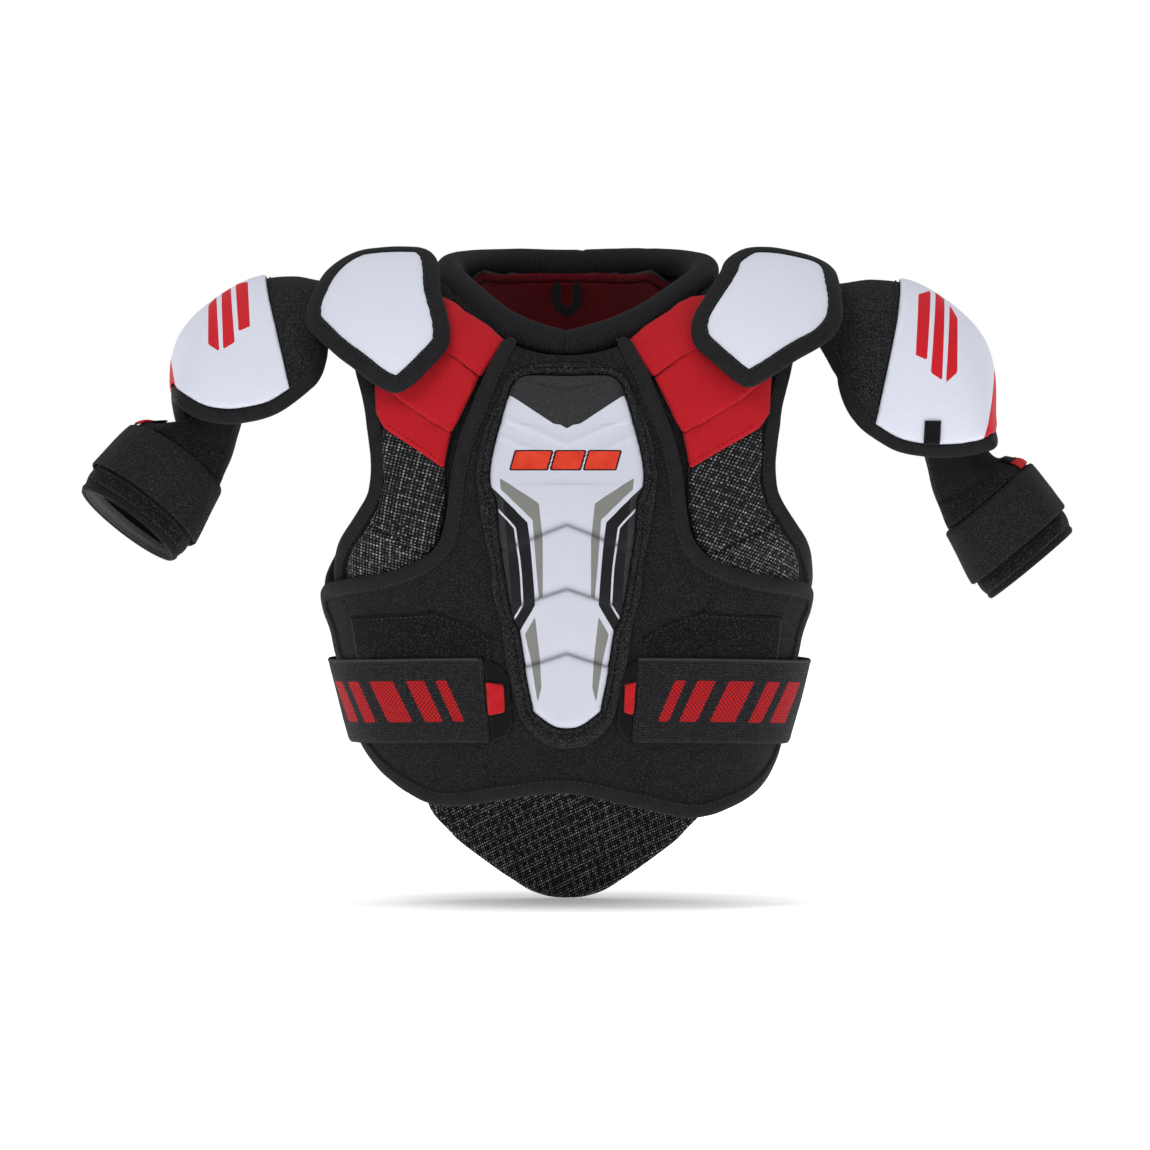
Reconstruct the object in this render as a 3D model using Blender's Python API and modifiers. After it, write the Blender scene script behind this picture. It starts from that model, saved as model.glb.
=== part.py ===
"""Ice hockey shoulder pads: an assembly of sewn panels, shoulder caps, arm guards and elastic straps.

Metres, +Z up. The wearer looks along -Y and +X is the wearer's left. The origin is the middle of the
neck opening, at the height where the pads rest on the wearer's shoulders. Outlines are written in
millimetres as seen from in front (x, z), and MM turns them into metres. Every panel is a sheet that is
laid on a surface at some distance from it and thickened inwards, so panels lie on each other in layers.
"""

import math

import bpy
from mathutils import Matrix, Vector
from mathutils.geometry import delaunay_2d_cdt

MM = 0.001
LEFT, RIGHT = 1, -1
SIDES = ((LEFT, "left"), (RIGHT, "right"))

# The wearer's chest and back: height, half width, depth in front and depth behind.
TORSO_SECTIONS = (
    (-500, 130, 103, 100),
    (-400, 143, 105, 100),
    (-342, 157, 109, 100),
    (-300, 169, 112, 100),
    (-227, 185, 112, 104),
    (-170, 208, 108, 106),
    (-100, 228, 96, 102),
    (60, 228, 96, 102),
)
TORSO_EXPONENT = 2.5
SHOULDER_LINE = -100 * MM
SHOULDER_TOP = 12 * MM
SHOULDER_SLOPE = 0.26
SLOPE_START = 90 * MM
NAPE_RISE = 35 * MM
NAPE_WIDTH = 45 * MM
SIDE_ARC = 125 * MM
SHOULDER_ARC = 110 * MM

# Layers on the torso, as distances of a sheet's outer face from the wearer's form.
YOKE_FACE, YOKE_THICK = 7.4 * MM, 6 * MM
SKIN_FACE, SKIN_THICK = 12.6 * MM, 3.4 * MM
CHEST_FACE, CHEST_THICK = 16 * MM, 7 * MM
BORDER_FACE, BORDER_THICK = 20.6 * MM, 3.9 * MM
PLATE_FACE, PLATE_THICK = 24 * MM, 7 * MM
PATCH_FACE, PATCH_THICK = 18.8 * MM, 1.4 * MM
STRAP_FACE, STRAP_THICK = 23.6 * MM, 2.2 * MM
BACK_FACE, BACK_THICK = 10.5 * MM, 7 * MM
LINER_FACE, LINER_THICK = 1.6 * MM, 1.5 * MM
GUARD_FACE, SPINE_THICK, SCAPULA_THICK = 19.6 * MM, 7.2 * MM, 5 * MM
PANEL_STEP = 20 * MM

# Edge binding: the tube of its centre line, and how far a panel's own edge stays inside the outline.
BINDING_RADIUS = 5.4 * MM
BINDING_INSET = 5.6 * MM
BINDING_LIFT = 2.2 * MM
PANEL_INSET = 12.6 * MM
LINER_INSET = 24 * MM
COLLAR_RADIUS = 11 * MM

# Half outlines, from the middle of the chest outwards or from the top down.
CHEST_TOP = ((58, -48), (71, -68), (83, -104), (91, -136), (94, -164), (99, -188), (114, -205),
             (146, -217), (190, -227), (190, -244), (184, -262), (180, -280))
CHEST_EDGES = {
    LEFT: CHEST_TOP + ((174, -304), (168, -342), (163, -362), (150, -386), (125, -402), (95, -409), (50, -399),
                       (0, -389)),
    RIGHT: CHEST_TOP + ((172, -304), (163, -342), (156, -358), (138, -379), (108, -397), (80, -399), (51, -394),
                        (0, -389)),
}
CHEST_NECK = ((0, -50), (22, -47), (42, -40))
ARMHOLE_EDGE = ((184, -24), (178, -40), (173, -60), (166, -90), (162, -120), (162, -144), (166, -158),
                (177, -176), (190, -193))
YOKE_INNER = ((170, -212), (120, -208), (80, -186), (72, -120), (60, -60), (66, -40), (84, -18), (106, -2))
STERNUM_EDGE = ((0, -50), (34, -53), (46, -61), (56, -83), (65, -104), (71, -136), (70, -152),
                (66, -180), (60, -208), (58, -232), (52, -254), (48, -286), (40, -320), (37, -330),
                (30, -340), (16, -351), (0, -354))
PLATE_EDGE = ((0, -60), (32, -60), (42, -66), (46, -75), (54, -104), (60, -131), (60, -147), (55, -160),
              (53, -190), (50, -208), (45, -240), (40, -256), (38, -264), (33, -298), (28, -330),
              (16, -341), (0, -345))
FOAM_EDGE = ((0, -70), (34, -72), (46, -130), (44, -200), (34, -270), (24, -330), (0, -338))
CLAVICLE_EDGES = {
    "upper": ((71, -59), (66, -44), (86, -20), (108, -4), (148, -12), (130, -22)),
    "middle": ((90, -102), (81, -80), (74, -61), (130, -24), (150, -14), (158, -30), (161, -54),
               (134, -76)),
    "lower": ((97, -133), (91, -106), (134, -80), (159, -60), (151, -90), (149, -100)),
}
RIB_EDGE = ((97, -137), (148, -105), (147, -120), (147, -144), (151, -163), (162, -183), (174, -197),
            (172, -215), (146, -211), (118, -199), (105, -186), (99, -164))
PATCH_EDGE = ((168, -251), (106, -247), (62, -264), (58, -348), (152, -345))
BACK_EDGE = ((0, 14), (40, 9), (66, 0), (96, 0), (104, -3), (170, -22), (176, -40), (168, -60), (157, -100),
             (157, -140), (166, -170), (186, -205), (190, -240), (184, -270), (172, -320), (158, -350),
             (130, -370), (90, -380), (0, -382))
SPINE_EDGE = ((0, -34), (24, -36), (32, -70), (36, -150), (32, -250), (24, -330), (0, -340))
SCAPULA_EDGE = ((48, -28), (92, -30), (138, -48), (136, -120), (126, -176), (98, -206), (56, -200))
TAIL_EDGE = ((0, -387), (100, -387), (114, -404), (110, -415), (98, -428), (87, -439), (60, -459),
             (45, -469), (30, -478), (14, -483), (0, -484))
BRIDGE_INSIDE, BRIDGE_OUTSIDE = {LEFT: 122 * MM, RIGHT: 106 * MM}, 178 * MM
BRIDGE_FRONT, BRIDGE_BACK = math.radians(68), math.radians(112)
COLLAR_SPREAD = {LEFT: 18 * MM, RIGHT: 2 * MM}
COLLAR_LINE = ((0, -86, -35), (22, -84, -30), (42, -76, -22), (60, -62, -10), (78, -40, 6), (90, -12, 18),
               (91, 20, 26), (76, 50, 29), (45, 72, 29), (0, 80, 28))
HANG_LOOP_HALF = 11 * MM
HANG_LOOP_TOP, HANG_LOOP_DROP = 13 * MM, 24 * MM
HANG_LOOP_DEPTH = 66 * MM

# Waist straps: edges, where each strap ends in front, and where it hinges at the wearer's side.
WAIST_TOP, WAIST_BOTTOM = -282 * MM, -348 * MM
WAIST_FRONT_END = {LEFT: 56 * MM, RIGHT: 66 * MM}
WAIST_TAB_END = {LEFT: 43 * MM, RIGHT: 47 * MM}
WAIST_HINGE = (189 * MM, 0)
STRAP_JOINT_GAP = 2.5 * MM
WAIST_ANCHOR_END = math.radians(140)

# Shoulder caps: part of an ellipsoid over the shoulder point, and each cap's outline, outwards from
# the middle plane.
CAP_MIDDLE = {LEFT: Vector((148, 0, -70)) * MM, RIGHT: Vector((134, 0, -70)) * MM}
CAP_RADII = Vector((120, 107, 108)) * MM
CAP_ARC = 105 * MM
CAP_SHELL_FACE, CAP_SHELL_THICK = 7 * MM, 2 * MM
CAP_PAD_FACE, CAP_PAD_THICK = 4.4 * MM, 4.4 * MM
CAP_OUTLINES = {
    LEFT: ((131, 38), (142, 42), (160, 43), (177, 40), (201, 31), (213, 21), (216, 0), (216.5, -12),
           (213, -24), (202, -35), (181, -47), (163, -59), (149, -67), (142, -69), (132, -63), (117, -50),
           (103, -37), (99.5, -26), (102, -14), (113, 4), (121, 20), (124, 31)),
    RIGHT: ((102, 36), (111, 43), (128, 46), (150, 44), (165, 39), (180, 31), (190, 21), (197, 8),
            (203, -6), (204.5, -15), (202, -24), (184, -41), (167, -54), (150, -67), (136, -73),
            (128, -71), (114, -59), (96, -39.5), (93.6, -27), (96, -13), (101, 4), (101, 20)),
}
CAP_HINGE = Vector((148, -24, 34)) * MM

# Arm caps, in each arm's own frame: distance along the arm, top and bottom of the section there as
# seen from in front (x, z), and half its depth.
ARM_SECTIONS = (
    (0, 12, 31, 2, -52, 43),
    (19, 37, 34, 7, -63, 52),
    (47, 67, 29, 20, -86, 60),
    (81, 99, 10, 45, -103, 61),
    (113, 122, -14, 75, -112, 60),
    (141, 132, -42, 100, -113, 57),
    (170, 134, -78, 122, -110, 53),
    (187, 137, -97, 134, -103, 50),
)
ARM_RIMS = {
    LEFT: ((0, 1), (40, 1), (81, 1), (113, 1), (141, 1), (160, 0.98), (175, 0.86), (184, 0.6), (187, 0.3),
           (187, 0)),
    RIGHT: ((0, 1), (40, 1), (81, 1), (113, 1), (134, 0.99), (149, 0.94), (160, 0.8), (167, 0.55),
            (169, 0.3), (169, 0)),
}
ARM_BACK_PART = 0.76
ARM_OPENING = math.radians(105)
ARM_CAP_FACE, ARM_CAP_THICK = -4.4 * MM, 6.2 * MM
ARM_CAP_END = 20 * MM
ARM_GUARD_THICK = 2.2 * MM
GUARD_START, GUARD_SLANT = 38 * MM, 26 * MM
ARM_FRAME = {LEFT: (208.8, 0, -14.4, 0), RIGHT: (-183, -8, -12, -20)}
ARM_PIVOT = Vector((2.2, 0, 22.4)) * MM
TETHER_START = {LEFT: -14 * MM, RIGHT: -2 * MM}
TETHER_END = 15 * MM
TETHER_HALF, TETHER_TOP, TETHER_THICK = 22.5 * MM, 2 * MM, 3 * MM

# Bicep wrap, in the same frame: distance along it, inner and outer side of the ring, and half its depth.
WRAP_SECTIONS = {
    LEFT: ((0, 74, -94, 118, -92, 32), (18, 78, -114, 131, -110, 33), (38, 85, -141, 146, -114, 36),
           (60, 97, -170.5, 159.5, -118, 38), (106, 118.7, -211.6, 187, -153, 40),
           (125, 131, -224, 195, -171, 39)),
    RIGHT: ((0, 74, -76, 112, -86, 30), (18, 77, -94, 124, -97, 32), (38, 84, -119, 147, -98, 35),
            (60, 94, -146, 162.5, -98.5, 37), (106, 115.5, -191, 192, -131, 38),
            (125, 129, -205, 202, -150, 34)),
}
WRAP_ROWS = (0, 18, 38, 49, 60, 75, 91, 106, 125)
WRAP_ARC = 43 * MM
WRAP_THICK = 4 * MM
WRAP_PIVOT = Vector((105, 0, -85)) * MM
BICEP_STRAP_FACE, BICEP_STRAP_THICK = 4.2 * MM, 2.4 * MM
BICEP_STRAP_FROM, BICEP_STRAP_TO = 60 * MM, 106 * MM
ADJUSTER_FROM, ADJUSTER_TO = 38 * MM, 57 * MM
ADJUSTER_FACE, ADJUSTER_THICK = 3.6 * MM, 2 * MM

COLOURS = {
    "shell_white": (0.80, 0.82, 0.88, 0.55),
    "binding_black": (0.020, 0.020, 0.022, 0.9),
    "knit_black": (0.016, 0.016, 0.018, 0.95),
    "mesh_black": (0.030, 0.030, 0.032, 0.9),
    "twill_red": (0.55, 0.020, 0.025, 0.85),
    "liner_red": (0.20, 0.005, 0.010, 0.9),
    "foam_grey": (0.10, 0.10, 0.11, 0.95),
    "elastic_black": (0.012, 0.012, 0.014, 0.9),
}


# ---- the wearer's form ---------------------------------------------------------------------------

def table_value(table, height, column):
    """One column of a table that rises in its first column, read with rounded corners."""
    total = 0.0
    shifts = (-18, -9, 0, 9, 18)
    for shift in shifts:
        at = min(max(height / MM + shift, table[0][0]), table[-1][0])
        for low, high in zip(table, table[1:]):
            if at <= high[0]:
                part = (at - low[0]) / (high[0] - low[0])
                total += low[column] + (high[column] - low[column]) * part
                break
    return total / len(shifts) * MM


def signed_power(value, power):
    return math.copysign(abs(value) ** power, value)


def shoulder_height(x, behind):
    top = SHOULDER_TOP - SHOULDER_SLOPE * max(0.0, abs(x) - SLOPE_START)
    if behind:
        top += NAPE_RISE * math.exp(-((x / NAPE_WIDTH) ** 2))
    return top


def torso(around, up):
    """A point of the form. around is an arc length from the middle of the chest to the wearer's left,
    up is a height over the shoulder line and, above that, an arc length over the shoulder."""
    turn = around / SIDE_ARC
    side, ahead = math.sin(turn), math.cos(turn)
    column = 2 if ahead > 0 else 3
    height = SHOULDER_LINE + min(up, 0.0)
    power = 2 / TORSO_EXPONENT
    x = table_value(TORSO_SECTIONS, height, 1) * signed_power(side, power)
    y = -table_value(TORSO_SECTIONS, height, column) * signed_power(ahead, power)
    if up <= 0:
        return Vector((x, y, height))
    rise = shoulder_height(x, ahead < 0) - SHOULDER_LINE
    over = min(up / SHOULDER_ARC, math.radians(88))
    return Vector((x, y * math.cos(over), SHOULDER_LINE + rise * math.sin(over)))


def lifted(surface, first, second, distance):
    """A point of a surface moved along its normal, first x second."""
    nudge = 1.5 * MM
    across = surface(first + nudge, second) - surface(first - nudge, second)
    along = surface(first, second + nudge) - surface(first, second - nudge)
    return surface(first, second) + across.cross(along).normalized() * distance


def on_torso(around, up, distance):
    return lifted(torso, around, up, distance)


def torso_place(x, z, distance, behind=False):
    """The (around, up) whose lifted point is seen from in front at x, z."""
    around = 0.5 * math.pi * SIDE_ARC * min(abs(x) / (200 * MM), 0.95)
    up = z - SHOULDER_LINE
    farthest = math.radians(87) * SIDE_ARC
    nudge = 0.5 * MM
    for _ in range(40):
        turned = math.pi * SIDE_ARC - around if behind else around
        here = on_torso(turned, up, distance)
        aside = math.pi * SIDE_ARC - around - nudge if behind else around + nudge
        grow_x = (on_torso(aside, up, distance).x - here.x) / nudge
        grow_z = (on_torso(turned, up + nudge, distance).z - here.z) / nudge
        around += 0.7 * (abs(x) - here.x) / max(grow_x, 0.12)
        around = min(max(around, 0.0), farthest)
        up += 0.7 * (z - here.z) / max(grow_z, 0.12)
        up = min(up, math.radians(84) * SHOULDER_ARC)
    turned = math.pi * SIDE_ARC - around if behind else around
    if x < 0:
        turned = (2 * math.pi * SIDE_ARC - turned) if behind else -turned
    return turned, up


# ---- outlines in the plane of a surface ----------------------------------------------------------

def smooth_line(points, step, closed=True):
    """Points about a step apart on the Catmull-Rom curve through the given ones."""
    count = len(points)
    line = []
    for i in range(count if closed else count - 1):
        corners = []
        for k in (i - 1, i, i + 1, i + 2):
            corners.append(Vector(points[k % count] if closed else points[min(max(k, 0), count - 1)]))
        before, start, end, after = corners
        parts = max(1, round((end - start).length / step))
        for part in range(parts):
            t = part / parts
            bend = (end - before) * t + (before * 2 - start * 5 + end * 4 - after) * t ** 2
            bend += (start * 3 - before - end * 3 + after) * t ** 3
            line.append(start + bend * 0.5)
    if not closed:
        line.append(Vector(points[-1]))
    return line


def straight_line(points, step, closed=True):
    line = []
    count = len(points)
    for i in range(count if closed else count - 1):
        start, end = Vector(points[i]), Vector(points[(i + 1) % count])
        parts = max(1, round((end - start).length / step))
        line += [start.lerp(end, part / parts) for part in range(parts)]
    return line if closed else line + [Vector(points[-1])]


def signed_area(points):
    return 0.5 * sum(a.x * b.y - b.x * a.y for a, b in zip(points, points[1:] + points[:1]))


def moved_line(points, distance, closed=True):
    """A line moved sideways: to the left of its direction, or inwards on a closed outline."""
    turn = math.copysign(1, signed_area(points)) if closed else 1
    moved = []
    for i, point in enumerate(points):
        before = points[i - 1] if closed or i else point
        after = points[(i + 1) % len(points)] if closed or i < len(points) - 1 else point
        along = (after - before).normalized()
        moved.append(point + Vector((-along.y, along.x)) * distance * turn)
    if closed:
        moved = [point for point in moved if distance_to(point, points) > 0.97 * abs(distance)]
    return moved


def inside(point, outline):
    within = False
    for a, b in zip(outline, outline[1:] + outline[:1]):
        if (a.y > point.y) != (b.y > point.y):
            if point.x < a.x + (point.y - a.y) * (b.x - a.x) / (b.y - a.y):
                within = not within
    return within


def distance_to(point, outline):
    least = 1.0
    for a, b in zip(outline, outline[1:] + outline[:1]):
        along = b - a
        part = min(max((point - a).dot(along) / max(along.length_squared, 1e-12), 0.0), 1.0)
        least = min(least, (point - a - along * part).length)
    return least


def full_outline(half):
    """A symmetric outline from its half, whose first and last points are on the middle plane."""
    return [(x * MM, z * MM) for x, z in half] + [(-x * MM, z * MM) for x, z in half[-2:0:-1]]


def laid(points, distance, behind=False):
    return [Vector(torso_place(x, z, distance, behind)) for x, z in points]


# ---- making objects ------------------------------------------------------------------------------

def clear_scene():
    for thing in list(bpy.data.objects):
        bpy.data.objects.remove(thing, do_unlink=True)


def material(name):
    found = bpy.data.materials.get(name)
    if found:
        return found
    made = bpy.data.materials.new(name)
    made.use_nodes = True
    shader = made.node_tree.nodes["Principled BSDF"]
    red, green, blue, rough = COLOURS[name]
    shader.inputs["Base Color"].default_value = (red, green, blue, 1)
    shader.inputs["Roughness"].default_value = rough
    shader.inputs["Metallic"].default_value = 0
    return made


def add_object(name, data, finish, parent=None):
    data.materials.append(material(finish))
    made = bpy.data.objects.new(name, data)
    pads.objects.link(made)
    made.parent = parent
    return made


def add_pivot(name, place, turn=None, parent=None):
    """An empty on a joint's axis, which the joint's pieces hang from."""
    pivot = bpy.data.objects.new(name, None)
    pivot.empty_display_size = 20 * MM
    pads.objects.link(pivot)
    pivot.parent = parent
    pivot.matrix_basis = Matrix.Translation(place) @ (turn or Matrix.Identity(4))
    return pivot


def add_solidified(name, points, faces, thickness, finish, parent=None):
    mesh = bpy.data.meshes.new(name)
    mesh.from_pydata(points, [], faces)
    mesh.shade_smooth()
    made = add_object(name, mesh, finish, parent)
    shell = made.modifiers.new("thickness", "SOLIDIFY")
    shell.thickness = thickness
    shell.offset = -1
    return made


def add_sheet(name, outline, surface, thickness, finish, parent=None, side=LEFT, hole=None, step=PANEL_STEP,
              row_step=0.87):
    """A panel: the outline filled with evenly spaced points, laid on a surface and thickened."""
    spots = list(outline) + list(hole or ())
    rings = [list(range(len(outline)))]
    if hole:
        rings.append(list(range(len(outline), len(spots))))
    low = Vector((min(p.x for p in outline), min(p.y for p in outline)))
    high = Vector((max(p.x for p in outline), max(p.y for p in outline)))
    rows = int((high.y - low.y) / (step * row_step)) + 1
    columns = int((high.x - low.x) / step) + 1
    for row in range(rows):
        for column in range(columns):
            spot = low + Vector((step * (column + 0.5 * (row % 2)), step * row_step * (row + 0.5)))
            if not inside(spot, outline) or distance_to(spot, outline) < 0.55 * step:
                continue
            if hole and (inside(spot, hole) or distance_to(spot, hole) < 0.55 * step):
                continue
            spots.append(spot)
    edges = [(ring[i - 1], ring[i]) for ring in rings for i in range(len(ring))]
    corners, _, triangles, *_ = delaunay_2d_cdt(spots, edges, [], 1, 1e-6)
    faces = []
    for a, b, c in triangles:
        middle = (corners[a] + corners[b] + corners[c]) / 3
        if hole and inside(middle, list(hole)):
            continue
        turned = signed_area([corners[a], corners[b], corners[c]]) * side < 0
        faces.append((a, c, b) if turned else (a, b, c))
    points = [surface(corner.x, corner.y) for corner in corners]
    return add_solidified(name, points, faces, thickness, finish, parent)


def add_tube(name, points, radius, finish, parent=None, cyclic=False):
    curve = bpy.data.curves.new(name, "CURVE")
    curve.dimensions = "3D"
    curve.bevel_depth = radius
    curve.bevel_resolution = 1
    curve.use_fill_caps = not cyclic
    spline = curve.splines.new("POLY")
    spline.points.add(len(points) - 1)
    for spot, point in zip(spline.points, points):
        spot.co = (*point, 1)
    spline.use_cyclic_u = cyclic
    return add_object(name, curve, finish, parent)


def torso_sheet(name, outline, face, thickness, finish, **more):
    return add_sheet(name, outline, lambda a, b: on_torso(a, b, face), thickness, finish, **more)


def mirrored(points, side):
    return [(side * x * MM, z * MM) for x, z in points]


# ---- front of the torso --------------------------------------------------------------------------

def make_chest():
    middle = CHEST_FACE - 0.5 * CHEST_THICK
    outline = mirrored(CHEST_NECK + CHEST_EDGES[LEFT], LEFT)
    outline += mirrored(CHEST_EDGES[RIGHT][-2::-1] + CHEST_NECK[:0:-1], RIGHT)
    edge = smooth_line(laid(outline, middle), 16 * MM)
    torso_sheet("chest_panel", moved_line(edge, PANEL_INSET), CHEST_FACE, CHEST_THICK, "knit_black",
                row_step=1.2)
    rim = mirrored(CHEST_EDGES[LEFT], LEFT) + mirrored(CHEST_EDGES[RIGHT][-2::-1], RIGHT)
    rim = smooth_line(laid(rim, middle), 18 * MM, closed=False)
    path = moved_line(rim, -BINDING_INSET, closed=False)
    path = [on_torso(*spot, middle + BINDING_LIFT) for spot in path]
    add_tube("chest_panel_binding", path, BINDING_RADIUS, "binding_black")


def make_sternum():
    border = smooth_line(laid(full_outline(STERNUM_EDGE), BORDER_FACE), 13 * MM)
    plate = smooth_line(laid(full_outline(PLATE_EDGE), BORDER_FACE), 13 * MM)
    torso_sheet("sternum_plate", plate, PLATE_FACE, PLATE_THICK, "shell_white")
    torso_sheet("sternum_border", border, BORDER_FACE, BORDER_THICK, "binding_black",
                hole=moved_line(plate, -1.2 * MM), step=12 * MM)
    foam = smooth_line(laid(full_outline(FOAM_EDGE), YOKE_FACE), 22 * MM)
    torso_sheet("sternum_foam", foam, YOKE_FACE, YOKE_THICK, "foam_grey", row_step=1.3)


def make_yoke(side, word):
    edge = laid(mirrored(ARMHOLE_EDGE, side), YOKE_FACE)
    inner = laid(mirrored(YOKE_INNER, side), YOKE_FACE)
    top = [Vector(shoulder_place(side * BRIDGE_OUTSIDE, BRIDGE_FRONT - math.radians(1.2)))]
    rim = smooth_line(top + edge, 16 * MM, closed=False)
    panel = moved_line(rim, side * -PANEL_INSET, closed=False) + straight_line(inner, 20 * MM, closed=False)
    torso_sheet(f"{word}_yoke_pad", panel, YOKE_FACE, YOKE_THICK, "knit_black")
    path = moved_line(rim, side * -BINDING_INSET, closed=False)
    middle = YOKE_FACE - 0.5 * YOKE_THICK + BINDING_LIFT
    path = [on_torso(*spot, middle) for spot in path]
    add_tube(f"{word}_yoke_binding", path, BINDING_RADIUS, "binding_black")


def make_skins(side, word):
    """The red padded steps over the collar bone, and the open mesh pad over the ribs."""
    for place, points in CLAVICLE_EDGES.items():
        outline = straight_line(laid(mirrored(points, side), SKIN_FACE), 14 * MM)
        torso_sheet(f"{word}_clavicle_pad_{place}", outline, SKIN_FACE, SKIN_THICK, "twill_red")
    outline = straight_line(laid(mirrored(RIB_EDGE, side), SKIN_FACE), 14 * MM)
    torso_sheet(f"{word}_rib_pad", outline, SKIN_FACE, SKIN_THICK, "mesh_black")


def make_loop_patch(side, word):
    outline = straight_line(laid(mirrored(PATCH_EDGE, side), PATCH_FACE), 16 * MM)
    torso_sheet(f"{word}_loop_patch", outline, PATCH_FACE, PATCH_THICK, "elastic_black")


# ---- over the shoulders and behind ---------------------------------------------------------------

def shoulder_place(x, over):
    """The (around, up) of a point over the shoulder; over counts from the chest, 180 degrees behind."""
    behind = over > 0.5 * math.pi
    part = (abs(x) / table_value(TORSO_SECTIONS, SHOULDER_LINE, 1)) ** (0.5 * TORSO_EXPONENT)
    turn = math.asin(part)
    turn = math.pi - turn if behind else turn
    over = math.pi - over if behind else over
    return math.copysign(turn * SIDE_ARC, x), over * SHOULDER_ARC


def over_shoulder(x, over, distance):
    """A point over the shoulder, seen as a strip that runs from the chest to the back."""
    def strip(across, along):
        rise = shoulder_height(across, False) - SHOULDER_LINE
        depth = torso(*shoulder_place(across, 0.0)).y
        angle = along / SHOULDER_ARC
        return Vector((across, depth * math.cos(angle), SHOULDER_LINE + rise * math.sin(angle)))
    return lifted(strip, x, over * SHOULDER_ARC, distance)


def make_bridge(side, word):
    rows, columns = 5, 5
    points, faces = [], []
    for row in range(rows + 1):
        over = BRIDGE_FRONT + (BRIDGE_BACK - BRIDGE_FRONT) * row / rows
        for column in range(columns + 1):
            x = side * (BRIDGE_INSIDE[side] + (BRIDGE_OUTSIDE - BRIDGE_INSIDE[side]) * column / columns)
            points.append(over_shoulder(x, over, YOKE_FACE))
    for row in range(rows):
        for column in range(columns):
            corner = row * (columns + 1) + column
            face = (corner, corner + 1, corner + columns + 2, corner + columns + 1)
            faces.append(face if side == LEFT else face[::-1])
    add_solidified(f"{word}_shoulder_bridge", points, faces, YOKE_THICK, "knit_black")


def make_back():
    middle = BACK_FACE - 0.5 * BACK_THICK
    edge = smooth_line(laid(full_outline(BACK_EDGE), middle, behind=True), 18 * MM)
    torso_sheet("back_panel", moved_line(edge, PANEL_INSET), BACK_FACE, BACK_THICK, "knit_black",
                step=22 * MM, row_step=1.1)
    path = [on_torso(*spot, middle) for spot in moved_line(edge, BINDING_INSET)]
    add_tube("back_panel_binding", path, BINDING_RADIUS, "binding_black", cyclic=True)
    liner = smooth_line(moved_line(edge, LINER_INSET), 30 * MM)
    torso_sheet("back_liner", liner, LINER_FACE, LINER_THICK, "liner_red", step=30 * MM, row_step=1.1)
    spine = smooth_line(laid(full_outline(SPINE_EDGE), GUARD_FACE, behind=True), 22 * MM)
    torso_sheet("spine_guard", spine, GUARD_FACE, SPINE_THICK, "knit_black")
    tail = smooth_line(laid(full_outline(TAIL_EDGE), BACK_FACE, behind=True), 15 * MM)
    torso_sheet("tail_pad", tail, BACK_FACE, BACK_THICK, "mesh_black")


def make_scapula(side, word):
    outline = smooth_line(laid(mirrored(SCAPULA_EDGE, side), GUARD_FACE, behind=True), 18 * MM)
    torso_sheet(f"{word}_scapula_pad", outline, GUARD_FACE - 2 * MM, SCAPULA_THICK, "knit_black")


def make_collar():
    """The roll around the neck; each side of it spreads out over its shoulder by its own amount."""
    halves = {}
    for side, _ in SIDES:
        points = [Vector(point) * MM for point in COLLAR_LINE]
        for point in points:
            point.x = side * (point.x + COLLAR_SPREAD[side] * max(0.0, point.x / MM - 30) / 61)
        halves[side] = points
    loop = halves[LEFT] + halves[RIGHT][-2:0:-1]
    add_tube("collar_roll", smooth_line(loop, 15 * MM), COLLAR_RADIUS, "knit_black", cyclic=True)
    turns = 8
    legs = [Vector((-HANG_LOOP_HALF, HANG_LOOP_DEPTH, HANG_LOOP_TOP))]
    for turn in range(turns + 1):
        angle = math.pi * (1 + turn / turns)
        legs.append(Vector((HANG_LOOP_HALF * math.cos(angle), HANG_LOOP_DEPTH,
                            HANG_LOOP_TOP - HANG_LOOP_DROP + HANG_LOOP_HALF * (1 + math.sin(angle)))))
    legs.append(Vector((HANG_LOOP_HALF, HANG_LOOP_DEPTH, HANG_LOOP_TOP)))
    add_tube("hang_loop", legs, 2.2 * MM, "elastic_black")


# ---- waist straps --------------------------------------------------------------------------------

def band_outline(start, end, top, bottom):
    corners = ((start, bottom), (end, bottom), (end, top), (start, top))
    return straight_line(corners, 16 * MM)


def side_gap(side, behind):
    """Where a waist strap stops beside its hinge, as an arc length around the torso."""
    gap = STRAP_JOINT_GAP / SIDE_ARC
    turn = 0.5 * math.pi + (gap if behind else -gap)
    return side * turn * SIDE_ARC


def make_waist_strap(side, word):
    low, high = WAIST_BOTTOM - SHOULDER_LINE, WAIST_TOP - SHOULDER_LINE
    pivot = add_pivot(f"{word}_waist_hinge", Vector((side * WAIST_HINGE[0], WAIST_HINGE[1], 0)))
    home = Vector(pivot.location)

    def hung(a, b):
        return on_torso(a, b, STRAP_FACE) - home

    start = torso_place(side * WAIST_FRONT_END[side], WAIST_TOP, STRAP_FACE)[0]
    strap = band_outline(start, side_gap(side, False), high, low)
    add_sheet(f"{word}_waist_strap", strap, hung, STRAP_THICK, "elastic_black", parent=pivot)
    tip = torso_place(side * WAIST_TAB_END[side], WAIST_TOP, STRAP_FACE)[0]
    narrow = 9 * MM
    tab = band_outline(tip, start - side * 0.8 * MM, high - narrow, low + narrow)
    add_sheet(f"{word}_waist_pull_tab", tab, lambda a, b: on_torso(a, b, STRAP_FACE + MM) - home,
              STRAP_THICK - 0.2 * MM, "twill_red", parent=pivot)
    end = side * WAIST_ANCHOR_END * SIDE_ARC
    anchor = band_outline(side_gap(side, True), end, high, low)
    torso_sheet(f"{word}_waist_strap_anchor", anchor, STRAP_FACE, STRAP_THICK, "elastic_black")


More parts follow.
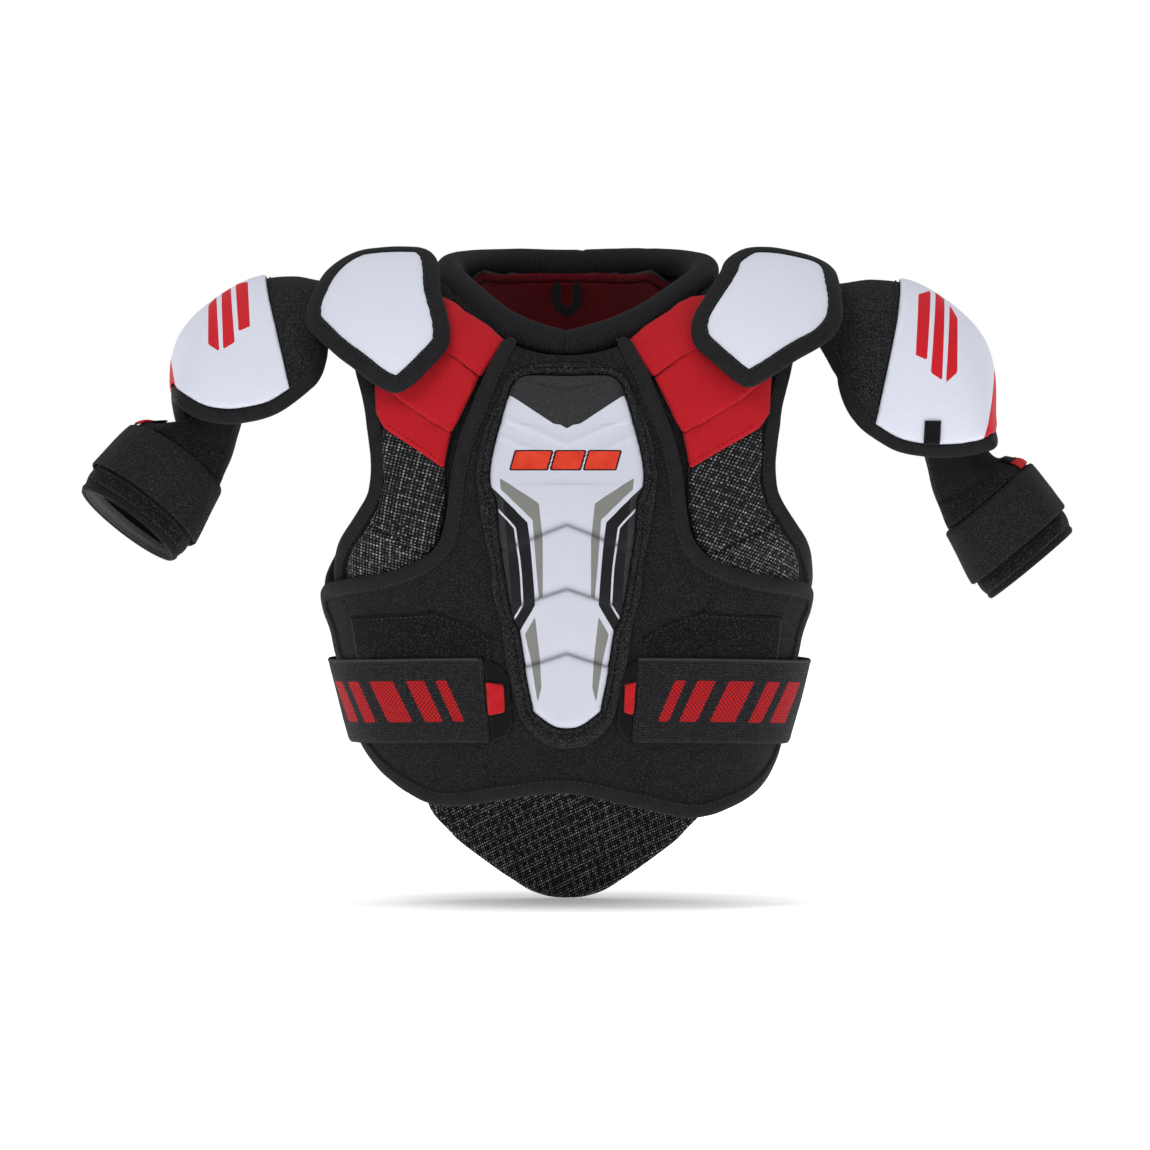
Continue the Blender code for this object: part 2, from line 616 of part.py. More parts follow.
# ---- shoulder caps -------------------------------------------------------------------------------

def shoulder_dome(side, across, up, distance):
    radii = CAP_RADII + Vector((distance, distance, distance))
    turn, rise = across / CAP_ARC, up / CAP_ARC
    x = CAP_MIDDLE[side].x + radii.x * math.sin(turn)
    y = -radii.y * math.cos(turn) * math.cos(rise)
    z = CAP_MIDDLE[side].z + radii.z * math.cos(turn) * math.sin(rise)
    return Vector((side * x, y, z))


def dome_place(side, x, z, distance):
    middle = CAP_MIDDLE[side]
    turn = math.asin((x - middle.x) / (CAP_RADII.x + distance))
    rise = math.asin(min((z - middle.z) / ((CAP_RADII.z + distance) * math.cos(turn)), 0.97))
    return Vector((turn * CAP_ARC, rise * CAP_ARC))


def make_shoulder_cap(side, word):
    home = Vector((side * CAP_HINGE.x, CAP_HINGE.y, CAP_HINGE.z))
    pivot = add_pivot(f"{word}_shoulder_cap_hinge", home)
    middle = 0.5 * (CAP_SHELL_FACE + CAP_PAD_FACE - CAP_PAD_THICK)
    spots = [dome_place(side, x * MM, z * MM, middle) for x, z in CAP_OUTLINES[side]]
    edge = smooth_line(spots, 12 * MM)
    inner = moved_line(edge, PANEL_INSET)
    for piece, face, thick, finish in (
        ("shell", CAP_SHELL_FACE, CAP_SHELL_THICK, "shell_white"),
        ("pad", CAP_PAD_FACE, CAP_PAD_THICK, "foam_grey"),
    ):
        def dome(a, b, face=face):
            return shoulder_dome(side, a, b, face) - home
        add_sheet(f"{word}_shoulder_cap_{piece}", inner, dome, thick, finish, parent=pivot, side=side,
                  step=17 * MM)
    path = [shoulder_dome(side, *spot, middle) - home for spot in moved_line(edge, BINDING_INSET)]
    add_tube(f"{word}_shoulder_cap_binding", path, BINDING_RADIUS, "binding_black", pivot, cyclic=True)


# ---- arms ----------------------------------------------------------------------------------------

def section_at(sections, out):
    """The section at a distance along its piece, on a smooth curve through the ones around it."""
    out = min(max(out / MM, 0.0), sections[-1][0])
    first = max(k for k in range(len(sections) - 1) if sections[k][0] <= out)
    t = (out - sections[first][0]) / (sections[first + 1][0] - sections[first][0])
    rows = [sections[min(max(first + k, 0), len(sections) - 1)][1:] for k in (-1, 0, 1, 2)]
    values = []
    for p0, p1, p2, p3 in zip(*rows):
        bend = (p2 - p0) * t + (2 * p0 - 5 * p1 + 4 * p2 - p3) * t ** 2
        bend += (3 * p1 - p0 - 3 * p2 + p3) * t ** 3
        values.append((p1 + 0.5 * bend) * MM)
    return values


def arm_edge(out):
    """How far around the arm cap its edge is: about the arc length of half a section."""
    top_x, top_z, low_x, low_z, half = section_at(ARM_SECTIONS, out)
    return half + 0.75 * math.hypot(top_x - low_x, top_z - low_z)


def arm_cap_form(side, out, around):
    """A point of the arm cap: out runs to the elbow, around from over the arm to its open underside."""
    top_x, top_z, low_x, low_z, half = section_at(ARM_SECTIONS, out)
    turn = ARM_OPENING * around / arm_edge(out)
    part = (1 - math.cos(turn)) / (1 - math.cos(ARM_OPENING))
    x = top_x + (low_x - top_x) * part
    z = top_z + (low_z - top_z) * part
    return Vector((side * x, -half * math.sin(turn), z))


def on_arm_cap(side, out, around, distance):
    return lifted(lambda a, b: arm_cap_form(side, a, b), out, around, -side * distance)


def wrap_form(side, out, around):
    in_x, in_z, out_x, out_z, half = section_at(WRAP_SECTIONS[side], out)
    turn = around / WRAP_ARC
    x = 0.5 * (in_x + out_x) + 0.5 * (out_x - in_x) * math.cos(turn)
    z = 0.5 * (in_z + out_z) + 0.5 * (out_z - in_z) * math.cos(turn)
    return Vector((side * x, -half * math.sin(turn), z))


def on_wrap(side, out, around, distance):
    return lifted(lambda a, b: wrap_form(side, a, b), out, around, -side * distance)


def make_tether(side, word, pivot, home):
    """The short web that hangs the arm from the shoulder bridge."""
    columns, rows = 2, 6
    points, faces = [], []
    for row in range(rows + 1):
        y = TETHER_HALF * (2 * row / rows - 1)
        z = TETHER_TOP - 3 * MM * (y / TETHER_HALF) ** 2
        for column in range(columns + 1):
            x = TETHER_START[side] + (TETHER_END - TETHER_START[side]) * column / columns
            points.append(Vector((side * x, y, z)) - home)
    for row in range(rows):
        for column in range(columns):
            corner = row * (columns + 1) + column
            face = (corner, corner + 1, corner + columns + 2, corner + columns + 1)
            faces.append(face if side == LEFT else face[::-1])
    add_solidified(f"{word}_arm_tether", points, faces, TETHER_THICK, "knit_black", pivot)


def make_arm_cap(side, word, pivot, home):
    last = ARM_RIMS[side][-1][0] * MM
    rim = [(out * MM, part * arm_edge(out * MM)) for out, part in ARM_RIMS[side]]
    rim = rim + [(out, -ARM_BACK_PART * around) for out, around in rim[-2::-1]]
    rim = smooth_line(rim, 16 * MM, closed=False)

    def cap(face):
        return lambda a, b: on_arm_cap(side, a, b, face) - home

    inner = moved_line(rim, -1.08 * PANEL_INSET, closed=False)
    for spot in inner:
        spot.x = min(spot.x, last - ARM_CAP_END)
    inner[0].x = inner[-1].x = 0.0
    end = [Vector((0, inner[-1].y + part * (inner[0].y - inner[-1].y))) for part in (0.25, 0.5, 0.75)]
    add_sheet(f"{word}_arm_cap", inner + end, cap(ARM_CAP_FACE), ARM_CAP_THICK, "knit_black",
              parent=pivot, side=-side, step=17 * MM)
    middle = 0.5 * (ARM_CAP_FACE - ARM_CAP_THICK) + 0.5 * MM
    path = [cap(middle)(*spot) for spot in moved_line(rim, -BINDING_INSET, closed=False)]
    add_tube(f"{word}_arm_cap_binding", path, BINDING_RADIUS, "binding_black", pivot)

    guard = moved_line(rim, -1.1 * PANEL_INSET, closed=False)

    def starts(around):
        return GUARD_START + GUARD_SLANT * (abs(around) / arm_edge(GUARD_START)) ** 1.5

    for spot in guard:
        spot.x = min(spot.x, last - ARM_CAP_END)
    guard = [spot for spot in guard if spot.x > starts(spot.y) + 4 * MM]
    steps = 8
    top, bottom = guard[0].y, guard[-1].y
    ends = [bottom + (top - bottom) * k / steps for k in range(steps + 1)]
    guard += [Vector((starts(y), y)) for y in ends]
    add_sheet(f"{word}_bicep_guard", guard, cap(0), ARM_GUARD_THICK, "shell_white",
              parent=pivot, side=-side, step=17 * MM)


def make_wrap(side, word, pivot, home):
    rows, columns = len(WRAP_ROWS) - 1, 18
    points, faces = [], []
    for row in WRAP_ROWS:
        for column in range(columns):
            around = 2 * math.pi * WRAP_ARC * column / columns
            points.append(wrap_form(side, row * MM, around) - home)
    for row in range(rows):
        for column in range(columns):
            here, beside = row * columns + column, row * columns + (column + 1) % columns
            face = (here, beside, beside + columns, here + columns)
            faces.append(face if side == LEFT else face[::-1])
    add_solidified(f"{word}_bicep_wrap", points, faces, WRAP_THICK, "knit_black", pivot)

    def band(start, end, first, final, face):
        corners = ((start, first), (end, first), (end, final), (start, final))
        outline = straight_line([(a, b * WRAP_ARC) for a, b in corners], 15 * MM)
        return outline, lambda a, b: on_wrap(side, a, b, face)

    outline, surface = band(BICEP_STRAP_FROM, BICEP_STRAP_TO, math.radians(187), math.radians(356),
                            BICEP_STRAP_FACE)
    add_sheet(f"{word}_bicep_strap_anchor", outline, lambda a, b: surface(a, b) - home, BICEP_STRAP_THICK,
              "elastic_black", parent=pivot, side=-side, step=16 * MM)
    outline, tab = band(ADJUSTER_FROM, ADJUSTER_TO, math.radians(8), math.radians(50), ADJUSTER_FACE)
    add_sheet(f"{word}_wrap_adjuster", outline, lambda a, b: tab(a, b) - home, ADJUSTER_THICK, "twill_red",
              parent=pivot, side=-side, step=16 * MM)

    hinge = strap_hinge(side)
    strap_pivot = add_pivot(f"{word}_bicep_strap_hinge", hinge - home, parent=pivot)
    outline, surface = band(BICEP_STRAP_FROM, BICEP_STRAP_TO, math.radians(5), math.radians(182),
                            BICEP_STRAP_FACE)
    add_sheet(f"{word}_bicep_strap", outline, lambda a, b: surface(a, b) - hinge, BICEP_STRAP_THICK,
              "elastic_black", parent=strap_pivot, side=-side, step=16 * MM)


def strap_hinge(side):
    """The middle of the line at the outer side of the wrap where the bicep strap starts."""
    ends = [on_wrap(side, out, 0.0, BICEP_STRAP_FACE) for out in (BICEP_STRAP_FROM, BICEP_STRAP_TO)]
    return 0.5 * (ends[0] + ends[1])


def make_arm(side, word):
    x, y, z, swing = ARM_FRAME[side]
    frame = Matrix.Rotation(math.radians(swing), 4, "X")
    home = Vector((side * ARM_PIVOT.x, ARM_PIVOT.y, ARM_PIVOT.z))
    place = Vector((x, y, z)) * MM + frame @ home
    tether = add_pivot(f"{word}_arm_swing_pivot", place, frame)
    arm = add_pivot(f"{word}_arm_lift_pivot", Vector(), parent=tether)
    make_tether(side, word, tether, home)
    make_arm_cap(side, word, arm, home)
    bend = Vector((side * WRAP_PIVOT.x, WRAP_PIVOT.y, WRAP_PIVOT.z))
    wrap = add_pivot(f"{word}_wrap_bend_pivot", bend - home, parent=arm)
    make_wrap(side, word, wrap, bend)


clear_scene()
pads = bpy.data.collections.new("hockey_shoulder_pads")
bpy.context.scene.collection.children.link(pads)
make_chest()
make_sternum()
make_back()
make_collar()
for one_side, side_word in SIDES:
    make_yoke(one_side, side_word)
    make_skins(one_side, side_word)
    make_loop_patch(one_side, side_word)
    make_bridge(one_side, side_word)
    make_scapula(one_side, side_word)
    make_waist_strap(one_side, side_word)
    make_shoulder_cap(one_side, side_word)
    make_arm(one_side, side_word)
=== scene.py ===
"""Looks for the ice hockey shoulder pads: sewn panels, bindings, stitching, elastics and a studio.

Metres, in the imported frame: +Z up, the wearer looks along -Y, +X is the wearer's left. Outlines are in
millimetres as seen from in front (x, z). Each panel is a fine sheet laid on the same forms that the CAD
solids follow, with its own crown, seams and rounded edge.
"""

import math

import bpy
import numpy as np
from mathutils import Matrix, Vector
from mathutils.geometry import delaunay_2d_cdt


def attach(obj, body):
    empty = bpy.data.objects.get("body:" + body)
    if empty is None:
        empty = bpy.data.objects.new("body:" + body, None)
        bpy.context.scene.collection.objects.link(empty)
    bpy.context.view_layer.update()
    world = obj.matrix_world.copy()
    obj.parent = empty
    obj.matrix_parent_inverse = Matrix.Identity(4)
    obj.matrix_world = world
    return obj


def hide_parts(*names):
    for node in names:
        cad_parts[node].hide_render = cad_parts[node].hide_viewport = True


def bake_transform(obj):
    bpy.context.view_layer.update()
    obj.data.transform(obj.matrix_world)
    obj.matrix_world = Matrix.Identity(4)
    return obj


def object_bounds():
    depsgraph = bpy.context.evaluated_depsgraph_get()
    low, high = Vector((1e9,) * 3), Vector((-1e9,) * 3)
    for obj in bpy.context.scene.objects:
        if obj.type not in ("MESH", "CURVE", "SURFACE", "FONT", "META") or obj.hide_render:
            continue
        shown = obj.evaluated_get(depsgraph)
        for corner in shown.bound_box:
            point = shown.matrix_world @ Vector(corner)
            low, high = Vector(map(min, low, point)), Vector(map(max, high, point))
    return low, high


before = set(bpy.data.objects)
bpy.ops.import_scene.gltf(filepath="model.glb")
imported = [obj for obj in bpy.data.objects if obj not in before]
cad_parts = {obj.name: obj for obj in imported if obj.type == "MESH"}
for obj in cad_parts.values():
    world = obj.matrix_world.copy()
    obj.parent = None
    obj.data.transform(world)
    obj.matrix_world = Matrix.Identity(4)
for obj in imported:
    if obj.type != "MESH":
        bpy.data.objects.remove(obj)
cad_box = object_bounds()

MM = 0.001
LEFT, RIGHT = 1, -1
SIDES = ((LEFT, "left"), (RIGHT, "right"))

# The wearer's chest and back: height, half width, depth in front and depth behind.
TORSO_SECTIONS = np.array((
    (-500, 130, 103, 100), (-400, 143, 105, 100), (-342, 157, 109, 100), (-300, 169, 112, 100),
    (-227, 185, 112, 104), (-170, 208, 108, 106), (-100, 228, 96, 102), (60, 228, 96, 102)))
TORSO_EXPONENT = 2.5
SHOULDER_LINE, SHOULDER_TOP = -100 * MM, 12 * MM
SHOULDER_SLOPE, SLOPE_START = 0.26, 90 * MM
NAPE_RISE, NAPE_WIDTH = 35 * MM, 45 * MM
SHOULDER_ARC = 110 * MM
EVEN_HEIGHT = -227 * MM

# Distances of the outer faces from the wearer's form, and thicknesses.
YOKE_FACE, YOKE_THICK = 7.4 * MM, 6 * MM
SKIN_FACE, SKIN_THICK = 12.6 * MM, 3.4 * MM
CHEST_FACE, CHEST_THICK = 16 * MM, 7 * MM
BORDER_FACE, BORDER_THICK = 20.6 * MM, 3.9 * MM
PLATE_FACE, PLATE_THICK = 24 * MM, 7 * MM
PATCH_FACE, PATCH_THICK = 18.6 * MM, 1.6 * MM
STRAP_FACE, STRAP_THICK = 21.4 * MM, 2 * MM
BACK_FACE, BACK_THICK = 10.5 * MM, 7 * MM
LINER_FACE, LINER_THICK = 2.6 * MM, 1.8 * MM
GUARD_FACE, SPINE_THICK, SCAPULA_FACE, SCAPULA_THICK = 19.6 * MM, 7.6 * MM, 17.6 * MM, 5.6 * MM

TAPE_INSET, PANEL_INSET, TOP_INSET = 5.6 * MM, 6.5 * MM, 9.5 * MM
COLLAR_RADIUS = 11 * MM

# Half outlines, from the middle of the chest outwards or from the top down.
CHEST_TOP = ((50, -31), (58, -46), (67, -64), (83, -104), (91, -136), (94, -164), (99, -188),
             (114, -205), (146, -217), (190, -227), (190, -244), (184, -262), (180, -280))
CHEST_EDGES = {
    LEFT: CHEST_TOP + ((174, -304), (168, -342), (163, -362), (150, -386), (125, -402), (95, -409),
                       (50, -399), (0, -389)),
    RIGHT: CHEST_TOP + ((172, -304), (163, -342), (156, -358), (138, -379), (108, -397), (80, -399),
                        (51, -394), (0, -389)),
}
CHEST_NECK = ((0, -38), (22, -36), (40, -31))
CHEST_TAPE_START = (49.5, -30)
ARMHOLE_EDGE = ((184, -24), (178, -40), (173, -60), (166, -90), (162, -120), (162, -144), (166, -158),
                (177, -176), (187, -193), (190, -212), (188, -232))
YOKE_INNER = ((172, -238), (120, -218), (80, -186), (72, -120), (60, -60), (66, -40), (84, -18), (106, -2))
STERNUM_EDGE = ((0, -50), (34, -53), (46, -61), (56, -83), (65, -104), (71, -136), (70, -152),
                (66, -180), (60, -208), (58, -232), (52, -254), (48, -286), (40, -320), (37, -330),
                (30, -340), (16, -351), (0, -354))
PLATE_EDGE = ((0, -60), (32, -60), (42, -66), (46, -75), (54, -104), (60, -131), (60, -147), (55, -160),
              (53, -190), (50, -208), (45, -240), (40, -256), (37, -262), (32, -296), (27, -321),
              (25, -326), (11, -336), (0, -338))
FOAM_EDGE = ((0, -70), (34, -72), (46, -130), (44, -200), (34, -270), (24, -330), (0, -338))
CLAVICLE_EDGES = {
    "upper": ((68, -62), (48, -33), (62, -20), (81, -8), (98, 3), (114, 5), (148, -12), (132, -25)),
    "middle": ((91, -106), (79, -82), (69, -61), (130, -21), (150, -14), (158, -30), (162, -57),
               (135, -80)),
    "lower": ((97, -134), (91, -104), (134, -77), (159, -56), (157, -90), (149, -102)),
}
SIDE_SHIFT = {LEFT: 4, RIGHT: -6}
CLAVICLE_STEPS = {"upper": ((68, -62), (132, -25)), "middle": ((91, -106), (135, -80), (162, -57)),
                  "lower": ((97, -134), (149, -102))}
CLAVICLE_RISES = {"upper": 2.4 * MM, "middle": 3.8 * MM, "lower": 1.4 * MM}
RIB_EDGE = ((96, -132), (151, -100), (152, -120), (150, -144), (155, -163), (166, -183), (177, -197),
            (182, -212), (181, -232), (146, -224), (116, -208), (102, -190), (96, -164))
SKIN_SEAM = ((99, -129), (147, -99))
RIB_EMBOSS = ((163, -177), (108, -204))
PATCH_EDGE = ((172, -252), (128, -249), (106, -247), (84, -254), (60, -266), (56, -350), (156, -348))
BACK_EDGE = ((0, 27), (40, 26), (66, 23), (92, 12), (106, 2), (170, -22), (176, -40), (168, -60),
             (157, -100), (157, -140), (166, -170), (186, -205), (190, -240), (184, -270), (172, -320),
             (158, -350), (130, -370), (90, -380), (0, -382))
SPINE_EDGE = ((0, -34), (24, -36), (32, -70), (36, -150), (32, -250), (24, -330), (0, -340))
SCAPULA_EDGE = ((48, -28), (92, -30), (138, -48), (136, -120), (126, -176), (98, -206), (56, -200))
TAIL_EDGE = ((0, -380), (100, -380), (114, -402), (110, -415), (98, -428), (87, -439), (60, -459),
             (45, -469), (30, -478), (14, -483), (0, -484))
TAIL_SEAM = ((47, -384), (46, -410), (41, -440), (35, -470))
BACK_SEAMS = (((148, -60), (146, -150), (152, -230), (140, -340)), ((52, -215), (88, -222), (146, -196)),
              ((44, -300), (90, -306), (144, -300)))
CHEST_SEAMS = (((115, -214), (113, -228), (107, -247)), ((67, -350), (61, -372), (55, -402)))
BRIDGE_INSIDE, BRIDGE_OUTSIDE = {LEFT: 104 * MM, RIGHT: 90 * MM}, 178 * MM
BRIDGE_FRONT, BRIDGE_BACK = math.radians(50), math.radians(118)
COLLAR_STEP, COLLAR_STAND_DROP = 2.6 * MM, 15 * MM
COLLAR_SPREAD = {LEFT: 18, RIGHT: 2}
COLLAR_LINE = ((0, -86, -35), (22, -84, -30), (42, -76, -22), (60, -62, -10), (78, -40, 6), (90, -12, 18),
               (91, 20, 26), (76, 50, 29), (45, 72, 29), (0, 80, 28))
HANG_LOOP_LINE = ((-8.6, 66, 15), (-8.6, 66, 2), (-7.6, 64.8, -4), (-1.2, 63.6, -9.6),
                  (1.2, 63.6, -9.6), (7.2, 64.8, -4), (7.8, 66, 2), (7.8, 66, 15))

# Print on the sternum plate: the white field, the grey stripes and the thin white line beside it.
WHITE_FIELD = ((0, -102), (46, -75), (80, -78), (80, -140), (60, -147), (31, -176), (29, -191),
               (26, -225), (25, -241), (38, -263), (32, -298), (28, -331), (34, -365), (0, -365))
GREY_STRIPES = (((53, -141), (22, -161), (19, -190), (19, -234), (22, -236), (24, -213), (27, -174),
                 (52, -150)), ((25, -250), (21, -286), (20, -306), (23, -318), (28, -286), (33, -264)))
WHITE_LINE = ((60, -160), (41, -180), (37, -208), (36, -219), (35, -241), (43, -254), (44, -262))
PLATE_CHEVRONS = ((-181, 0.42), (-230, 0.33), (-280, 0.30))
PLATE_WING_WIDTH, PLATE_WING_END = 43 * MM, -40 * MM
PLATE_DIP = ((46, -77), (43, -66), (34, -64), (16, -67), (0, -70), (-16, -67), (-34, -64), (-43, -66),
             (-46, -77))
PLATE_BARS = (((-44, -134), (-40, -120), (-12, -120), (-16, -134)),
              ((-12, -134), (-8, -120), (14, -120), (10, -134)),
              ((14, -134), (18, -120), (42, -120), (38, -134)))

# Waist straps: edges, front ends and pull tabs.
WAIST_TOP, WAIST_BOTTOM = -282, -348
WAIST_FRONT_END = {LEFT: 56, RIGHT: 66}
WAIST_TAB_END = {LEFT: 43, RIGHT: 47}
WAIST_BARS = ((26, 9), (44, 15), (70, 22), (104, 13), (126, 20))
WAIST_BAR_SLANT = 22 * MM
WAIST_BOW = {LEFT: 1.6 * MM, RIGHT: -2.4 * MM}
WAIST_BACK_END = 132

# Shoulder caps.
CAP_MIDDLE = {LEFT: Vector((148, 0, -70)) * MM, RIGHT: Vector((134, 0, -70)) * MM}
CAP_RADII = Vector((120, 107, 108)) * MM
CAP_ARC = 105 * MM
CAP_FACE, CAP_MID = 7.4 * MM, 3.4 * MM
CAP_OUTLINES = {
    LEFT: ((132, 32), (143, 37), (160, 39), (178, 36), (200, 28), (212, 19), (216, 0), (216.5, -12),
           (213, -24), (202, -35), (181, -47), (163, -59), (149, -67), (142, -69), (132, -63), (117, -50),
           (103, -37), (99.5, -26), (102, -14), (113, 4), (122, 18), (126, 27)),
    RIGHT: ((105, 30), (114, 37), (130, 41), (150, 40), (165, 36), (179, 28), (190, 19), (197, 8),
            (203, -6), (204.5, -15), (202, -24), (184, -41), (167, -54), (150, -67), (136, -73),
            (128, -71), (114, -59), (96, -39.5), (93.6, -27), (96, -13), (101, 4), (102, 18)),
}

# The web behind each cap: places from the shoulder up to the cap, in depth and height.
CAP_HINGE_PATH = ((18, -3), (12, 6), (4, 15), (-7, 24), (-18, 30), (-26, 32), (-33, 31))
CAP_HINGE_MIDDLE = {LEFT: (149, 0), RIGHT: (139, 3)}
CAP_HINGE_HALF = 17 * MM

# Arm caps, in each arm's own frame: sections by distance out, as the x and z of the top and of the
# underside and the half depth. The first one carries the pads on under the shoulder caps.
ARM_SECTIONS = np.array((
    (-24, -20, 27, -9, -30, 34), (0, 12, 31, 2, -52, 43), (19, 37, 34, 7, -63, 52),
    (47, 67, 29, 20, -86, 60), (81, 99, 10, 45, -103, 61), (113, 122, -14, 75, -112, 60),
    (141, 132, -42, 100, -113, 57), (170, 134, -78, 122, -110, 53), (187, 137, -97, 134, -103, 50)))
ARM_RIMS = {
    LEFT: ((-24, 0.78), (0, 0.97), (40, 1), (81, 1), (113, 1), (141, 1), (160, 0.98), (175, 0.86),
           (184, 0.6), (187, 0.3), (187, 0)),
    RIGHT: ((-4, 0.86), (10, 0.98), (40, 1), (81, 1), (113, 1), (134, 0.99), (149, 0.94), (160, 0.8),
            (167, 0.55), (169, 0.3), (169, 0)),
}
# How far round the back of the arm the rim comes, and how far the arm pad is drawn in under its cap.
ARM_BACK_PART = 0.76
ARM_OPENING = math.radians(105)
ARM_TUCK = {LEFT: 24 * MM, RIGHT: 4 * MM}
ARM_FACE, ARM_THICK = -3.4 * MM, 7 * MM
WEB_START, WEB_HEIGHT, WEB_REACH, WEB_WRAP = 168 * MM, 6 * MM, 38 * MM, 0.62
WEB_PIVOT, WEB_COLUMNS, WEB_ROWS = (2.2 * MM, 22.4 * MM), 30, 26
WEB_THICK, HINGE_DROP = (0, 0, 3.2 * MM), (0, 1.6 * MM, 2.2 * MM)
HIDDEN_STITCHES = 8
STITCH_LENGTH, STITCH_SPACE = 3.0 * MM, 1.4 * MM
STITCH_SWELL = np.array([0.35, 0.95, 1, 0.95, 0.35])
ARM_FRAME = {LEFT: (208.8, 0, -14.4, 0), RIGHT: (-183, -8, -12, -20)}
GUARD_START, GUARD_SLANT, GUARD_START_POINTS = 38 * MM, 26 * MM, 36
# The bars on the arm guards and the edge of the red stripe (heights, then distances out), seen in front.
MOTIF_BARS = (((71, 18), (81, 21), (77, -34), (68, -30)), ((85, 20), (92, 14), (89, -50), (80, -44)),
              ((96, 10), (102, -1), (101, -44), (92, -52)))
STRIPE_LIMIT = ((-104, -98, -85, -66, -50, -28), (119, 122, 125.5, 128.5, 130.5, 132.5))
TAB_CORNERS = ((75, -82), (88, -82), (87, -101), (74, -101))

# Sleeves: sections by distance out, as the x and z of the inner and the outer side and the half depth.
WRAP_SECTIONS = {
    LEFT: np.array(((0, 74, -94, 118, -92, 32), (18, 78, -114, 131, -110, 33),
                    (38, 85, -141, 146, -114, 36), (60, 97, -170.5, 159.5, -118, 38),
                    (106, 118.7, -211.6, 187, -153, 40), (125, 131, -224, 195, -171, 39))),
    RIGHT: np.array(((0, 74, -76, 112, -86, 30), (18, 77, -94, 124, -97, 32),
                     (38, 84, -119, 147, -98, 35), (60, 94, -146, 162.5, -98.5, 37),
                     (106, 115.5, -191, 192, -131, 38), (125, 129, -205, 202, -150, 34))),
}
WRAP_ARC, WRAP_THICK = 43 * MM, 4 * MM
BICEP_STRAP = (60, 106)

CAMERA_DISTANCE, VIEW_WIDTH, VIEW_LIFT = 8.0, 0.920, 1.2
VIEW_MIDDLE = Vector((6.4, 0, -220)) * MM
FLOOR_GLOW, FLOOR_REACH = 0.22, 9
LIGHT_TARGET = Vector((0, 0, -0.22))
LIGHTS = (("key", (-1.1, -2.0, 1.9), (1.2, 0.9), 20), ("fill", (1.6, -1.9, 0.5), (1.2, 1.4), 5),
          ("top", (0.0, -0.1, 2.2), (2.2, 1.4), 25), ("rim_left", (-1.6, 1.3, 0.6), (0.5, 1.4), 7),
          ("rim_right", (1.6, 1.3, 0.6), (0.5, 1.4), 7))


# ---- forms ----

def columns_of(*values):
    return np.stack(values, axis=-1)


def unit(rows):
    return rows / np.maximum(np.linalg.norm(rows, axis=-1, keepdims=True), 1e-12)


def signed_power(values, power):
    return np.copysign(np.abs(values) ** power, values)


def table_value(height, column):
    """A column of the torso's table, with its corners rounded."""
    shifts = (-18, -9, 0, 9, 18)
    heights, values = TORSO_SECTIONS[:, 0], TORSO_SECTIONS[:, column]
    return sum(np.interp(height / MM + shift, heights, values) for shift in shifts) / len(shifts) * MM


def torso_ring(turn, height):
    side, ahead = np.sin(turn), np.cos(turn)
    depth = np.where(ahead > 0, table_value(height, 2), table_value(height, 3))
    power = 2 / TORSO_EXPONENT
    return table_value(height, 1) * signed_power(side, power), -depth * signed_power(ahead, power), ahead


def arc_table():
    """Turns around the torso against the arc length there, from the middle of the chest."""
    turns = np.linspace(-math.pi, 3 * math.pi, 16001)
    x, y, _ = torso_ring(turns, np.full(len(turns), EVEN_HEIGHT))
    arcs = np.concatenate([[0], np.cumsum(np.hypot(np.diff(x), np.diff(y)))])
    return turns, arcs - np.interp(0, turns, arcs)


TURNS, ARCS = arc_table()
HALF_ROUND = float(np.interp(math.pi, TURNS, ARCS))
SIDE_ROUND = float(np.interp(math.radians(87), TURNS, ARCS))


def torso(around, up):
    """Points of the wearer's form: arc length around from the middle of the chest, and length up over
    the shoulder line, which runs over the shoulder above it."""
    height = SHOULDER_LINE + np.minimum(up, 0.0)
    x, y, ahead = torso_ring(np.interp(around, ARCS, TURNS), height)
    top = SHOULDER_TOP - SHOULDER_SLOPE * np.maximum(0.0, np.abs(x) - SLOPE_START)
    top = top + np.where(ahead < 0, NAPE_RISE * np.exp(-((x / NAPE_WIDTH) ** 2)), 0.0)
    over = np.clip(up / SHOULDER_ARC, 0, math.radians(88))
    z = np.where(up <= 0, height, SHOULDER_LINE + (top - SHOULDER_LINE) * np.sin(over))
    return columns_of(x, y * np.cos(over), z)


class Form:
    """A surface given by two coordinates; sign tells on which side of it the outside is."""

    def __init__(self, point, sign=1):
        self.point, self.sign = point, sign

    def normal(self, spots):
        a, b = spots[:, 0], spots[:, 1]
        nudge = 1.5 * MM
        across = self.point(a + nudge, b) - self.point(a - nudge, b)
        along = self.point(a, b + nudge) - self.point(a, b - nudge)
        return unit(np.cross(across, along)) * self.sign

    def at(self, spots, distance=0.0):
        lift = np.broadcast_to(distance, (len(spots),))[:, None]
        return self.point(spots[:, 0], spots[:, 1]) + self.normal(spots) * lift


TORSO = Form(torso)


